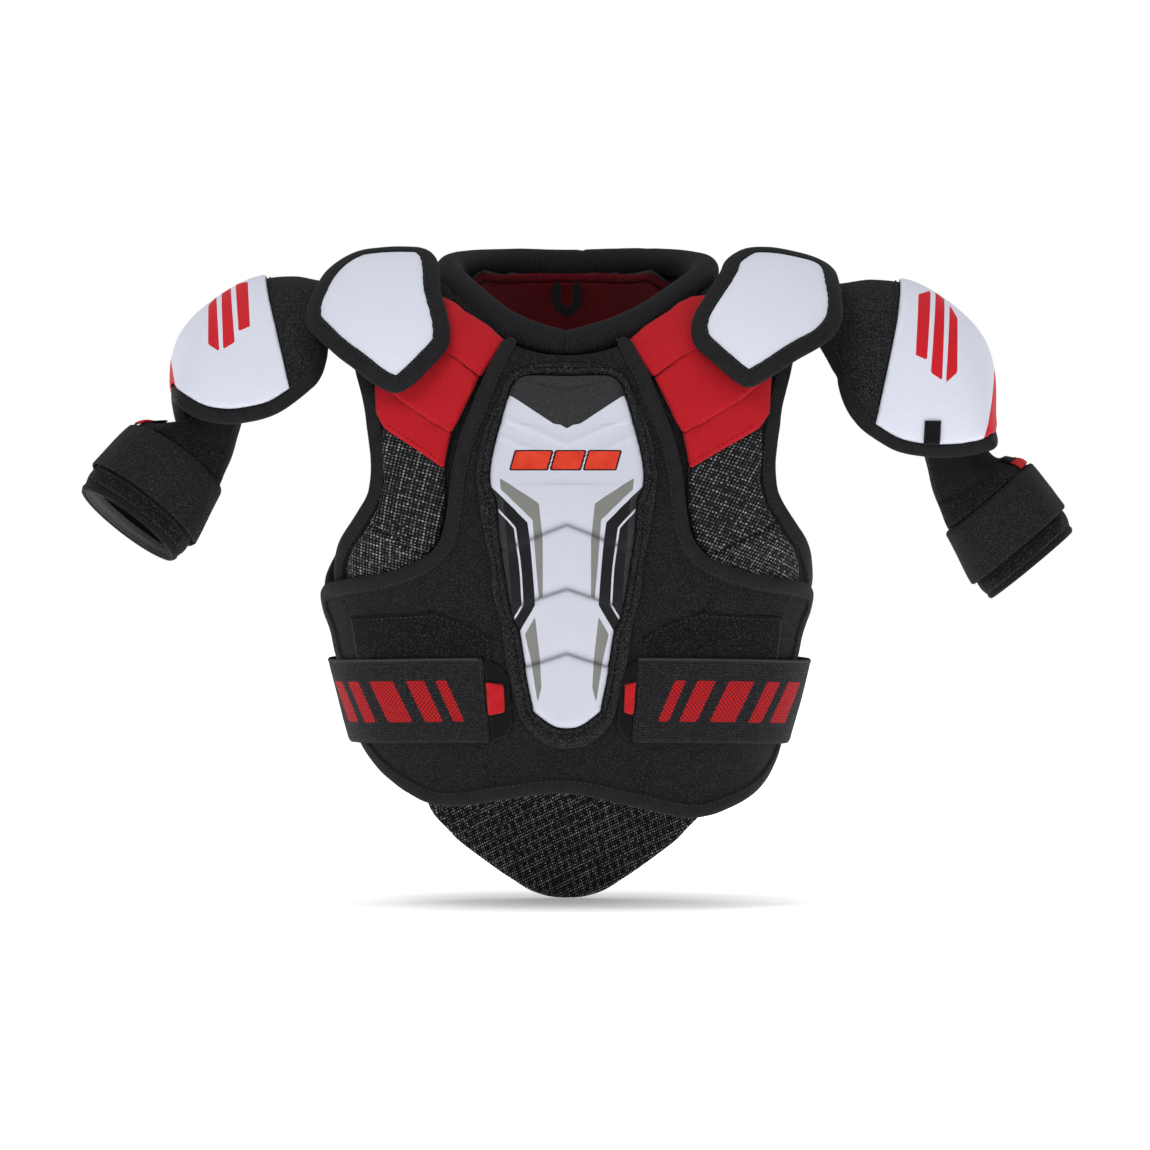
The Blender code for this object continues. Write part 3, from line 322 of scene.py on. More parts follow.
def laid(points, distance, behind=False):
    """Places on the torso whose lifted points are seen from in front at the given x, z in millimetres."""
    points = np.array(points, float) * MM
    around = np.minimum(np.abs(points[:, 0]), 0.9 * SIDE_ROUND)
    up = points[:, 1] - SHOULDER_LINE
    nudge = 0.5 * MM

    def seen(a, b):
        turned = HALF_ROUND - a if behind else a
        return TORSO.at(columns_of(turned, b), distance)

    for _ in range(45):
        here = seen(around, up)
        grow_x = (seen(around + nudge, up)[:, 0] - here[:, 0]) / nudge
        grow_z = (seen(around, up + nudge)[:, 2] - here[:, 2]) / nudge
        around = around + 0.7 * (np.abs(points[:, 0]) - here[:, 0]) / np.maximum(grow_x, 0.12)
        around = np.clip(around, 0, SIDE_ROUND)
        up = up + 0.7 * (points[:, 1] - here[:, 2]) / np.maximum(grow_z, 0.12)
        up = np.minimum(up, math.radians(84) * SHOULDER_ARC)
    sign = np.where(points[:, 0] < 0, -1, 1)
    around = HALF_ROUND - sign * around if behind else sign * around
    return columns_of(around, up)


def over_shoulder():
    """The strip over a shoulder: x across, and the angle over it from the chest as a length."""
    def point(across, along):
        top = SHOULDER_TOP - SHOULDER_SLOPE * np.maximum(0.0, np.abs(across) - SLOPE_START)
        angle = along / SHOULDER_ARC
        part = (np.abs(across) / table_value(np.array(SHOULDER_LINE), 1)) ** (0.5 * TORSO_EXPONENT)
        ahead = np.sqrt(1 - np.minimum(part, 1) ** 2) ** (2 / TORSO_EXPONENT)
        depth = np.where(angle < 0.5 * math.pi, 96 * MM, 102 * MM) * ahead
        z = SHOULDER_LINE + (top - SHOULDER_LINE) * np.sin(angle)
        return columns_of(across, -depth * np.cos(angle), z)
    return Form(point)


def dome(side):
    middle = CAP_MIDDLE[side]

    def point(across, up):
        turn, rise = across / CAP_ARC, up / CAP_ARC
        x = middle.x + CAP_RADII.x * np.sin(turn)
        y = -CAP_RADII.y * np.cos(turn) * np.cos(rise)
        z = middle.z + CAP_RADII.z * np.cos(turn) * np.sin(rise)
        return columns_of(side * x, y, z)
    return Form(point, side)


def dome_place(side, x, z, distance):
    """The place on a cap's dome seen from in front at x, z in millimetres."""
    middle = CAP_MIDDLE[side]
    turn = math.asin((x * MM - middle.x) / (CAP_RADII.x + distance))
    rise = math.asin(min((z * MM - middle.z) / ((CAP_RADII.z + distance) * math.cos(turn)), 0.97))
    return turn * CAP_ARC, rise * CAP_ARC


def curve(before, start, end, after, share):
    """A point on the Catmull-Rom curve from start to end."""
    bend = (end - before) * share + (2 * before - 5 * start + 4 * end - after) * share ** 2
    return start + 0.5 * (bend + (3 * start - before - 3 * end + after) * share ** 3)


def section_at(sections, out):
    """Columns of a section table at distances along the piece, carried on straight past its ends."""
    steps = sections[:, 0] * MM
    held = np.clip(out, steps[0], steps[-1])

    def read(where):
        first = np.clip(np.searchsorted(steps, where, "right") - 1, 0, len(steps) - 2)
        t = ((where - steps[first]) / (steps[first + 1] - steps[first]))[..., None]
        rows = [sections[np.clip(first + k, 0, len(steps) - 1), 1:] for k in (-1, 0, 1, 2)]
        return curve(*rows, t) * MM

    inward = np.where(out > steps[-1], -1, 1) * 2 * MM
    slope = (read(held + inward) - read(held)) / inward[..., None]
    return np.moveaxis(read(held) + slope * (out - held)[..., None], -1, 0)


def arm_place(side):
    x, y, z, swing = ARM_FRAME[side]
    return Matrix.Translation(Vector((x, y, z)) * MM) @ Matrix.Rotation(math.radians(swing), 4, "X")


def arm_world(side, rows):
    matrix = np.array(arm_place(side))
    return rows @ matrix[:3, :3].T + matrix[:3, 3]


def arm_edge(out):
    top_x, top_z, low_x, low_z, half = section_at(ARM_SECTIONS, np.asarray(out, float))
    return half + 0.75 * np.hypot(top_x - low_x, top_z - low_z)


def arm_cap_form(side):
    """out runs to the elbow; around runs from over the arm to its open underside."""
    def point(out, around):
        top_x, top_z, low_x, low_z, half = section_at(ARM_SECTIONS, out)
        turn = ARM_OPENING * around / arm_edge(out)
        part = (1 - np.cos(turn)) / (1 - math.cos(ARM_OPENING))
        rows = columns_of(side * (top_x + (low_x - top_x) * part), -half * np.sin(turn),
                         top_z + (low_z - top_z) * part)
        return arm_world(side, rows)
    return Form(point, -side)


def wrap_form(side):
    def point(out, around):
        in_x, in_z, out_x, out_z, half = section_at(WRAP_SECTIONS[side], out)
        turn = around / WRAP_ARC
        x = 0.5 * (in_x + out_x) + 0.5 * (out_x - in_x) * np.cos(turn)
        z = 0.5 * (in_z + out_z) + 0.5 * (out_z - in_z) * np.cos(turn)
        return arm_world(side, columns_of(side * x, -half * np.sin(turn), z))
    return Form(point, -side)


def seen_at(form, side, points, start):
    """Places on an arm's form that are seen from in front at x, z in millimetres of the arm's own frame."""
    points = np.array(points, float) * MM
    own = columns_of(side * points[:, 0], np.zeros(len(points)), points[:, 1])
    goal = arm_world(side, own)[:, [0, 2]]
    spots = np.tile(np.array(start, float), (len(points), 1))
    nudge = 0.5 * MM
    for _ in range(30):
        here = form.point(spots[:, 0], spots[:, 1])[:, [0, 2]]
        one = (form.point(spots[:, 0] + nudge, spots[:, 1])[:, [0, 2]] - here) / nudge
        two = (form.point(spots[:, 0], spots[:, 1] + nudge)[:, [0, 2]] - here) / nudge
        short = goal - here
        scale = one[:, 0] * two[:, 1] - two[:, 0] * one[:, 1]
        step = columns_of(short[:, 0] * two[:, 1] - two[:, 0] * short[:, 1],
                         one[:, 0] * short[:, 1] - short[:, 0] * one[:, 1]) / scale[:, None]
        spots = spots + 0.6 * np.clip(step, -20 * MM, 20 * MM)
    return spots


# ---- lines and outlines ----

def smooth(points, step, closed=True):
    """Points about a step apart on the Catmull-Rom curve through the given ones."""
    points = np.array(points, float)
    count = len(points)
    line = []
    for i in range(count if closed else count - 1):
        spots = [k % count if closed else min(max(k, 0), count - 1) for k in (i - 1, i, i + 1, i + 2)]
        rows = points[spots]
        parts = max(1, round(float(np.linalg.norm(rows[2] - rows[1])) / step))
        line.append(curve(*rows, np.arange(parts)[:, None] / parts))
    if not closed:
        line.append(points[-1:])
    return np.concatenate(line)


def straight(points, step, closed=True):
    points = np.array(points, float)
    ends = np.roll(points, -1, axis=0) if closed else points[1:]
    line = []
    for start, end in zip(points, ends):
        parts = max(1, round(float(np.linalg.norm(end - start)) / step))
        line.append(start + (end - start) * np.arange(parts)[:, None] / parts)
    if not closed:
        line.append(points[-1:])
    return np.concatenate(line)


def travel(line):
    """The length of a line up to each of its points."""
    return np.concatenate([[0], np.cumsum(np.linalg.norm(np.diff(line, axis=0), axis=1))])


def even(line, step, closed=False):
    """A line's points spaced evenly, about a step apart."""
    looped = np.concatenate([line, line[:1]]) if closed else line
    lengths = travel(looped)
    count = max(2, round(lengths[-1] / step))
    at = np.arange(count + (0 if closed else 1)) * lengths[-1] / count
    return np.stack([np.interp(at, lengths, column) for column in looped.T], axis=-1)


def area(outline):
    after = np.roll(outline, -1, axis=0)
    return 0.5 * float(np.sum(outline[:, 0] * after[:, 1] - after[:, 0] * outline[:, 1]))


def distances(spots, line, closed=True):
    """Each spot's distance to a line."""
    starts = line if closed else line[:-1]
    along = (np.roll(line, -1, axis=0) if closed else line[1:]) - starts
    size = np.maximum((along ** 2).sum(1), 1e-16)
    found = []
    for part in np.array_split(spots, max(1, len(spots) // 3000)):
        offset = part[:, None, :] - starts[None]
        share = np.clip((offset * along).sum(2) / size, 0, 1)
        found.append(np.sqrt(((offset - along * share[..., None]) ** 2).sum(2).min(1)))
    return np.concatenate(found)


def within(spots, outline):
    after = np.roll(outline, -1, axis=0)
    rise = after[:, 1] - outline[:, 1]
    rise = np.where(np.abs(rise) < 1e-15, 1e-15, rise)
    found = []
    for part in np.array_split(spots, max(1, len(spots) // 3000)):
        x, y = part[:, :1], part[:, 1:]
        spans = (outline[:, 1] > y) != (after[:, 1] > y)
        cross = outline[:, 0] + (y - outline[:, 1]) * (after[:, 0] - outline[:, 0]) / rise
        found.append((spans & (x < cross)).sum(1) % 2 == 1)
    return np.concatenate(found)


def depth_in(spots, outline):
    """Distance to an outline, positive inside it."""
    return np.where(within(spots, outline), 1, -1) * distances(spots, outline)


def moved(line, distance, closed=True):
    """A line moved to the left of its direction, or inwards on a closed outline."""
    turn = math.copysign(1, area(line)) if closed else 1
    before = np.roll(line, 1, axis=0)
    after = np.roll(line, -1, axis=0)
    if not closed:
        before[0], after[-1] = line[0], line[-1]
    along = unit(after - before)
    shifted = line + columns_of(-along[:, 1], along[:, 0]) * distance * turn
    if closed:
        shifted = shifted[distances(shifted, line) > 0.97 * abs(distance)]
    return shifted


def full(half):
    """A symmetric outline from its half, whose ends are on the middle plane."""
    return list(half) + [(-x, z) for x, z in half[-2:0:-1]]


def flipped(points, side):
    return [(side * x, z) for x, z in points]


def shifted(points, side):
    """One side's outline, whose outer part sits a little nearer on the wearer's right."""
    xs = [x for x, _ in points]
    moves = np.interp(xs, (110, 160), (0, SIDE_SHIFT[side]))
    return [(side * (x + move), z) for (x, z), move in zip(points, moves)]


def placed(points, side, face):
    """Places on the torso for one side's points, on a face."""
    return laid(flipped(points, side), face)


def placed_near(points, side, face):
    """The same, with the outer part moved by the side's shift."""
    return laid(shifted(points, side), face)


def ripple(spots, size, seed):
    """Soft unevenness from -1 to 1, with bumps about size across, the same at each run."""
    random = np.random.default_rng(seed)
    total = np.zeros(len(spots))
    for _ in range(6):
        angle, phase = random.uniform(0, 2 * math.pi, 2)
        wave = 2 * math.pi / (size * random.uniform(0.7, 1.5))
        total += np.sin((spots[:, 0] * math.cos(angle) + spots[:, 1] * math.sin(angle)) * wave + phase)
    return total / 6


# ---- meshes ----

def add_object(name, data):
    made = bpy.data.objects.new(name, data)
    bpy.context.scene.collection.objects.link(made)
    return made


def add_mesh(name, points, faces, finishes, fields=None, choice=None):
    """A smooth piece. fields are values kept on its points for the materials."""
    mesh = bpy.data.meshes.new(name)
    mesh.from_pydata(points.tolist(), [], faces if isinstance(faces, list) else faces.tolist())
    mesh.shade_smooth()
    for field, values in (fields or {}).items():
        kind, key = ("FLOAT_VECTOR", "vector") if values.ndim == 2 else ("FLOAT", "value")
        kept = mesh.attributes.new(field, kind, "POINT")
        kept.data.foreach_set(key, values.astype(np.float32).ravel())
    for finish in finishes:
        mesh.materials.append(MATERIALS[finish])
    if choice is not None:
        mesh.polygons.foreach_set("material_index", np.asarray(choice, np.int32))
    return add_object(name, mesh)


def filled(outline, step, holes=(), lines=()):
    """Even triangles inside an outline, with vertices along its lines."""
    rings = [outline, *holes]
    tracks = [straight(line, step, closed=False) for line in lines]
    low, high = outline.min(0), outline.max(0)
    rows = np.arange(low[1] + 0.5 * step, high[1], 0.87 * step)
    columns = np.arange(low[0], high[0] + step, step)
    grid = np.stack(np.meshgrid(columns, rows), axis=-1)
    grid[1::2, :, 0] += 0.5 * step
    grid = grid.reshape(-1, 2)
    keep = within(grid, outline) & (distances(grid, outline) > 0.55 * step)
    for hole in holes:
        keep &= ~within(grid, hole) & (distances(grid, hole) > 0.55 * step)
    for track in tracks:
        keep &= distances(grid, track, closed=False) > 0.55 * step
    spots, edges = [], []
    for line, closed in [(ring, True) for ring in rings] + [(track, False) for track in tracks]:
        first, count = len(spots), len(line)
        spots += line.tolist()
        edges += [(first + i, first + (i + 1) % count) for i in range(count if closed else count - 1)]
    spots += grid[keep].tolist()
    corners, _, triangles, *_ = delaunay_2d_cdt([Vector(spot) for spot in spots], edges, [], 1, 1e-7)
    corners, triangles = np.array([tuple(c) for c in corners]), np.array(triangles)
    for hole in holes:
        triangles = triangles[~within(corners[triangles].mean(1), hole)]
    return halved(corners, triangles)


def triangle_sides(triangles):
    return np.sort(np.concatenate([triangles[:, pair] for pair in ([0, 1], [1, 2], [2, 0])]), axis=1)


def halved(corners, triangles):
    """Each triangle split into four."""
    edges, index = np.unique(triangle_sides(triangles), axis=0, return_inverse=True)
    ab, bc, ca = index.reshape(3, -1) + len(corners)
    a, b, c = triangles.T
    corners = np.concatenate([corners, corners[edges].mean(1)])
    parts = [(a, ab, ca), (ab, b, bc), (ca, bc, c), (ab, bc, ca)]
    return corners, np.concatenate([np.stack(part, axis=-1) for part in parts])


def add_panel(name, outline, form, face, thick, finishes, step=2.6 * MM, round_edge=2.4 * MM, height=None,
              holes=(), lines=(), fields=None):
    """A padded sheet: an outer and an inner face that meet in a rounded edge."""
    spots, triangles = filled(outline, 2 * step, holes, lines)
    if area(spots[triangles[0]]) * form.sign < 0:
        triangles = triangles[:, ::-1]
    edge = distances(spots, outline)
    for hole in holes:
        edge = np.minimum(edge, distances(spots, hole))
    rounded = 1 - np.clip(edge / round_edge, 0, 1)
    half = 0.5 * thick * np.sqrt(1 - rounded ** 2)
    middle = face - 0.5 * thick
    extra = height(spots, edge) if height else np.zeros(len(spots))
    outer = form.at(spots, middle + half + extra)
    inner = form.at(spots, middle - half + 0.5 * extra)
    pairs, counts = np.unique(triangle_sides(triangles), axis=0, return_counts=True)
    rim = np.unique(pairs[counts == 1])
    under = np.arange(len(spots)) + len(spots)
    under[rim] = rim
    faces = np.concatenate([triangles, under[triangles][:, ::-1]])
    used = np.unique(faces)
    renumber = np.zeros(2 * len(spots), int)
    renumber[used] = np.arange(len(used))
    points = np.concatenate([outer, inner])[used]
    kept = {"grain": np.column_stack([spots, edge])}
    kept.update(fields(spots, edge) if fields else {})
    kept = {field: np.concatenate([values, values])[used] for field, values in kept.items()}
    choice = np.repeat([0, len(finishes) - 1], len(triangles))
    return add_mesh(name, points, renumber[faces], finishes, kept, choice)


def add_slab(name, rows, drop, finish, side):
    """A sheet from a grid of points, thickened by a drop from each."""
    count, wide = rows.shape[:2]
    points = rows.reshape(-1, 3)
    faces = []
    for k in (r * wide + c for r in range(count - 1) for c in range(wide - 1)):
        quad = [k, k + wide, k + wide + 1, k + 1]
        faces += [quad[::side], [corner + count * wide for corner in quad[::-side]]]
    around = list(range(wide)) + [r * wide + wide - 1 for r in range(1, count)]
    around += [(count - 1) * wide + c for c in range(wide - 2, -1, -1)]
    around += [r * wide for r in range(count - 2, 0, -1)]
    for one, other in zip(around, around[1:] + around[:1]):
        faces.append([one, other, other + count * wide, one + count * wide][::side])
    both = np.concatenate([points, points - drop])
    return add_mesh(name, both, faces, [finish], {"grain": np.concatenate([points, points])})


def ring_faces(rows, sides, closed):
    """Quads of a tube, with a cap at each end where it is open."""
    row = np.arange(rows if closed else rows - 1)[:, None]
    side = np.arange(sides)[None]
    here, beside = row * sides + side, row * sides + (side + 1) % sides
    after = ((row + 1) % rows) * sides
    faces = columns_of(here, beside, after + (side + 1) % sides, after + side)
    faces = faces.reshape(-1, 4).tolist()
    if not closed:
        faces += [list(range(sides))[::-1], [(rows - 1) * sides + k for k in range(sides)]]
    return faces


def sweep(name, centres, normals, profile, finishes, closed=False, swell=None, sides=18, square=2.6):
    """A tube along a line: profile is its half width and half height against the normal."""
    after = np.roll(centres, -1, axis=0) - np.roll(centres, 1, axis=0)
    if not closed:
        after[0], after[-1] = centres[1] - centres[0], centres[-1] - centres[-2]
    across = unit(np.cross(after, normals))
    normals = unit(np.cross(across, after))
    lengths = travel(centres)
    turn = 2 * math.pi * np.arange(sides) / sides
    wide, high = signed_power(np.cos(turn), 2 / square), signed_power(np.sin(turn), 2 / square)
    grown = np.ones(len(centres)) if swell is None else swell(lengths)
    if not closed:
        grown = grown * np.sqrt(np.clip(np.minimum(lengths, lengths[-1] - lengths) / profile[0], 0.12, 1))
    rings = across[:, None] * (wide[None, :, None] * profile[0])
    rings = rings + normals[:, None] * (high[None, :, None] * profile[1])
    points = centres[:, None] + rings * grown[:, None, None]
    grain = columns_of(np.repeat(lengths, sides), np.tile(turn * profile[0], len(centres)),
                      np.zeros(len(centres) * sides))
    faces = ring_faces(len(centres), sides, closed)
    return add_mesh(name, points.reshape(-1, 3), faces, finishes, {"grain": grain})


def add_stitches(body, slot, name, runs, finish="thread_black", radius=0.48 * MM):
    """Sewing thread: each run is a line of points with the normals there."""
    sides, cuts, length, space = 6, len(STITCH_SWELL), STITCH_LENGTH, STITCH_SPACE
    share = np.linspace(0, 1, cuts)
    points, count = [], 0
    for line, normals in runs:
        lengths = travel(line)
        starts = np.arange(0.5 * space, lengths[-1] - length, length + space)
        at = starts[:, None] + share * length
        middle = np.stack([np.interp(at, lengths, column) for column in line.T], axis=-1)
        up = unit(np.stack([np.interp(at, lengths, column) for column in normals.T], axis=-1))
        along = unit(middle[:, -1:] - middle[:, :1])
        aside = np.cross(along, up)
        arch = np.sin(math.pi * share) * 0.35 * MM - 0.1 * MM
        middle = middle + up * arch[None, :, None]
        size = (radius * STITCH_SWELL)[None, :, None]
        turns = [2 * math.pi * k / sides for k in range(sides)]
        block = [middle + (aside * math.cos(turn) + up * math.sin(turn)) * size for turn in turns]
        points.append(np.stack(block, axis=2).reshape(-1, 3))
        count += len(starts)
    one = ring_faces(cuts, sides, False)
    faces = [[corner + k * cuts * sides for corner in face] for k in range(count) for face in one]
    keep(add_mesh(name, np.concatenate(points), faces, [finish]), body, slot)


def run_on(form, line, distance, closed=False):
    """A line on a form as points and normals, for stitches."""
    line = even(line, 2 * MM, closed)
    if closed:
        line = np.concatenate([line, line[:1]])
    return form.at(line, distance), form.normal(line)


def add_tape(body, node, name, line, form, distance, half_width=6.4 * MM, half_height=4.2 * MM,
             closed=False, stitch_side=1):
    """Binding tape folded over a panel's edge, for its CAD node. Returns the line of its stitches."""
    line = even(line, 3 * MM, closed)
    centres, normals = form.at(line, distance), form.normal(line)

    def pucker(lengths):
        return 1 + 0.03 * ripple(columns_of(lengths, 0 * lengths), 26 * MM, len(name))

    size = (half_width, half_height)
    keep(sweep(name, centres, normals, size, ["binding_black"], closed, pucker), body, "binding", [node])
    inner = moved(line, stitch_side * 0.62 * half_width, closed)
    inner = np.concatenate([inner, inner[:1]]) if closed else inner
    return form.at(inner, distance + 0.86 * half_height), form.normal(inner)


def keep(piece, body, slot, replaces=(), fill=None):
    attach(piece, body)
    if replaces:
        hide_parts(*replaces)
    return piece


def add_pad(body, slot, stands_for, fill, *panel, **shape):
    """A padded sheet on its body; its slot is not used."""
    return keep(add_panel(*panel, **shape), body, slot, stands_for, fill)


def crown(edge, size, reach, power=1.0):
    """A rise in millimetres, reached that far in from the edge."""
    return size * MM * np.clip(edge / (reach * MM), 0, 1) ** power


def relief(size, reach, power=1.0, wave=None, lines=(), width=1.0, depth=0.0, lower=0.0):
    """A height: a crown, unevenness of a size, a length and a seed, and grooves, in millimetres."""
    def height(spots, edge):
        rise = crown(edge, size, reach, power) - lower * MM
        if wave:
            rise += wave[0] * MM * ripple(spots, wave[1] * MM, wave[2])
        for line in lines:
            rise += groove(spots, line, width * MM, depth * MM)
        return rise
    return height


# ---- materials ----

MATERIALS = {}
INK, BLACK, COAL = (0.004, 0.004, 0.005), (0.0050, 0.0050, 0.0055), (0.006, 0.006, 0.007)
SOOT, FLECK, LINT = (0.012, 0.012, 0.013), (0.034, 0.034, 0.036), (0.045, 0.045, 0.048)
WHITE, RED, DARK_RED = (0.68, 0.70, 0.78), (0.56, 0.012, 0.020), (0.07, 0.002, 0.004)
GREY = (0.20, 0.20, 0.185)
SHEEN_ROUGH, DULL = 0.4, 0.12


def shaded(tone, colour):
    return tuple(tone * c for c in colour)


class Shader:
    """A Principled material and the nodes that feed it. Patterns read the pieces' own grain field."""

    def __init__(self, name, colour, rough, sheen):
        self.material = bpy.data.materials.new(name)
        self.material.use_nodes = True
        self.tree = self.material.node_tree
        self.out = self.tree.nodes["Principled BSDF"]
        values = {"Base Color": (*colour, 1), "Roughness": rough, "Sheen Weight": sheen,
                  "Sheen Roughness": SHEEN_ROUGH, "Specular IOR Level": DULL}
        for key, value in values.items():
            self.out.inputs[key].default_value = value
        self.material.diffuse_color = (*colour, 1)
        MATERIALS[name] = self.material

    def node(self, kind, **values):
        made = self.tree.nodes.new(kind)
        for key, value in values.items():
            setattr(made, key, value)
        return made

    def plug(self, value, socket):
        if isinstance(value, bpy.types.NodeSocket):
            self.tree.links.new(value, socket)
        elif isinstance(value, tuple) and len(value) == 3 and len(socket.default_value) == 4:
            socket.default_value = (*value, 1)
        else:
            socket.default_value = value

    def math(self, operation, first, second=0.0, third=0.0):
        made = self.node("ShaderNodeMath", operation=operation)
        for value, socket in zip((first, second, third), made.inputs):
            self.plug(value, socket)
        return made.outputs[0]

    def field(self, name):
        return self.node("ShaderNodeAttribute", attribute_name=name).outputs["Fac"]

    def grain(self):
        return self.node("ShaderNodeAttribute", attribute_name="grain").outputs["Vector"]

    def axes(self):
        split = self.node("ShaderNodeSeparateXYZ")
        self.plug(self.grain(), split.inputs[0])
        return split.outputs

    def waves(self, value, pitch):
        """A sine of that pitch in metres, from 0 to 1."""
        turned = self.math("SINE", self.math("MULTIPLY", value, 2 * math.pi / pitch))
        return self.math("MULTIPLY_ADD", turned, 0.5, 0.5)

    def noise(self, size, detail=2.0):
        """Noise with features of that size in metres."""
        made = self.node("ShaderNodeTexNoise")
        self.plug(self.grain(), made.inputs["Vector"])
        made.inputs["Scale"].default_value = 1 / size
        made.inputs["Detail"].default_value = detail
        return made.outputs["Fac"]

    def above(self, value, limit, soft=0.0):
        """From 0 to 1 as the value passes the limit."""
        if isinstance(limit, bpy.types.NodeSocket):
            value, limit = self.math("SUBTRACT", value, limit), 0.0
        made = self.node("ShaderNodeMapRange")
        for value, key in ((value, "Value"), (limit - soft, "From Min"), (limit + soft + 1e-6, "From Max")):
            self.plug(value, made.inputs[key])
        return made.outputs[0]

    def mix(self, factor, first, second):
        made = self.node("ShaderNodeMix", data_type="RGBA")
        self.plug(factor, made.inputs["Factor"])
        self.plug(first, made.inputs[6])
        self.plug(second, made.inputs[7])
        return made.outputs[2]

    def inside(self, region, outside, colour):
        """A colour where the region's field is positive."""
        return self.mix(self.above(self.field(region), 0.0), outside, colour)

    def times(self, first, second):
        return self.math("MULTIPLY", first, second)

    def plus(self, first, second):
        return self.math("ADD", first, second)

    def minus(self, first, second):
        return self.math("SUBTRACT", first, second)

    def blended(self, first, share, second):
        """first times share, plus second."""
        return self.math("MULTIPLY_ADD", first, share, second)

    def checks(self, along, across, pitch, other):
        """A grid of bumps with a pitch each way."""
        return self.times(self.waves(along, pitch), self.waves(across, other))

    def finish(self, colour, height, depth):
        """The finished colour, and relief of that depth in metres."""
        self.plug(colour, self.out.inputs["Base Color"])
        made = self.node("ShaderNodeBump")
        made.inputs["Distance"].default_value = depth
        made.inputs["Strength"].default_value = 1.0
        self.plug(height, made.inputs["Height"])
        self.plug(made.outputs[0], self.out.inputs["Normal"])


def make_neoprene(name, colour, fleck, sheen=0.03):
    """Jersey-faced foam: fine loops with light flecks."""
    shade = Shader(name, colour, 0.9, sheen)
    along, across, _ = shade.axes()
    loops = shade.checks(along, across, 1.15 * MM, 1.3 * MM)
    flecks = shade.above(shade.noise(1.0 * MM, 2), 0.57, 0.08)
    cloudy = shade.mix(shade.noise(30 * MM), shaded(0.75, colour), shaded(1.5, colour))
    shade.finish(shade.mix(shade.times(flecks, 0.9), cloudy, fleck),
                 shade.plus(loops, shade.noise(1.8 * MM, 3)), 0.30 * MM)


def make_twill(name, colour, dark, pitch=1.5 * MM, slant=1.0):
    """A diagonal weave."""
    shade = Shader(name, colour, 0.75, 0.06)
    along, across, _ = shade.axes()
    lines = shade.waves(shade.blended(across, slant, along), pitch)
    yarns = shade.waves(shade.blended(across, -slant, along), 0.5 * pitch)
    wear_and_painted_shade = shade.mix(shade.noise(22 * MM), colour, shaded(0.86, colour))
    threads = shade.times(shade.times(lines, 0.85), shade.noise(2.4 * MM, 2))
    shade.finish(shade.mix(threads, wear_and_painted_shade, dark),
                 shade.blended(yarns, 0.3, shade.minus(1.0, lines)), 0.24 * MM)


def weave_white(shade, tone=1.0):
    """The white laminate's colour with its fine cross weave, and the height of the weave."""
    white = shaded(tone, WHITE)
    along, across, _ = shade.axes()
    weave = shade.checks(along, across, 2.3 * MM, 2.1 * MM)
    cloudy = shade.mix(shade.noise(40 * MM), white, shaded(0.95, white))
    return shade.mix(shade.times(weave, 0.22), cloudy, shaded(0.78, white)), weave


def make_plate():
    """Printed plate: the print's regions are fields, positive inside each. Its white is drawn darker as
    painted shade for the front light, and a painted shade darkens it along the chevron steps.
    """
    shade = Shader("plate_print", WHITE, 0.6, 0.05)
    # Painted shade: the plate's white is drawn at 0.84 of the shell white, because the plate faces the
    # front lights more than the caps do.
    white, weave = weave_white(shade, 0.84)
    flecks = shade.above(shade.noise(0.9 * MM, 1), 0.55, 0.08)
    printed = shade.mix(shade.times(flecks, 0.4), (0.022, 0.022, 0.024), (0.065, 0.065, 0.068))
    glow = shade.mix(shade.noise(14 * MM), (0.55, 0.012, 0.012), (0.70, 0.075, 0.025))
    for region, colour in (("wing", (0.009, 0.009, 0.010)), ("white", white), ("grey", GREY),
                           ("line", white), ("outline", (0.02, 0.004, 0.004)), ("bars", glow)):
        printed = shade.inside(region, printed, colour)
    # Painted shade: the colour is drawn towards dark grey along each chevron step, as far as the shade
    # field says.
    wear_and_painted_shade = shade.times(shade.field("shade"), 0.6)
    shade.finish(shade.mix(wear_and_painted_shade, printed, (0.05, 0.05, 0.06)), weave, 0.12 * MM)


def make_guard():
    shade = Shader("guard_print", WHITE, 0.6, 0.05)
    white, weave = weave_white(shade)
    along, across, _ = shade.axes()
    lines = shade.waves(shade.plus(along, across), 3.1 * MM)
    white = shade.mix(shade.times(lines, 0.06), white, (0.42, 0.43, 0.5))
    shade.finish(shade.inside("motif", white, RED), shade.plus(weave, lines), 0.05 * MM)


def make_white():
    shade = Shader("shell_white", WHITE, 0.6, 0.05)
    white, weave = weave_white(shade)
    shade.finish(white, weave, 0.10 * MM)


def make_rib_mesh(name="rib_mesh", dots=(0.36, 0.36, 0.37), pitch=2.6 * MM, clump=7.8 * MM, dense=True):
    """Open mesh with light knots in clumps; a field makes it denser towards the bottom."""
    shade = Shader(name, INK, 0.8, 0.05)
    along, across, _ = shade.axes()
    slanted = shade.blended(along, 0.35, across)
    turned = shade.blended(across, -0.35, along)
    knots = shade.checks(slanted, turned, pitch, pitch)
    clumps = shade.checks(slanted, turned, clump, clump)
    limit = shade.blended(clumps, 0.9, 0.30)
    if dense:
        limit = shade.blended(shade.field("dense"), -0.10, limit)
    seen = shade.above(knots, limit, 0.06)
    dropped = shade.above(shade.noise(2.2 * MM, 3), 0.50, 0.10)
    patchy = shade.times(shade.times(seen, dropped), shade.noise(12 * MM))
    ground = shade.mix(shade.math("LESS_THAN", knots, 0.08), SOOT, (0.004, 0.004, 0.004))
    shade.finish(shade.mix(shade.times(patchy, 1.5), ground, dots), knots, 0.5 * MM)


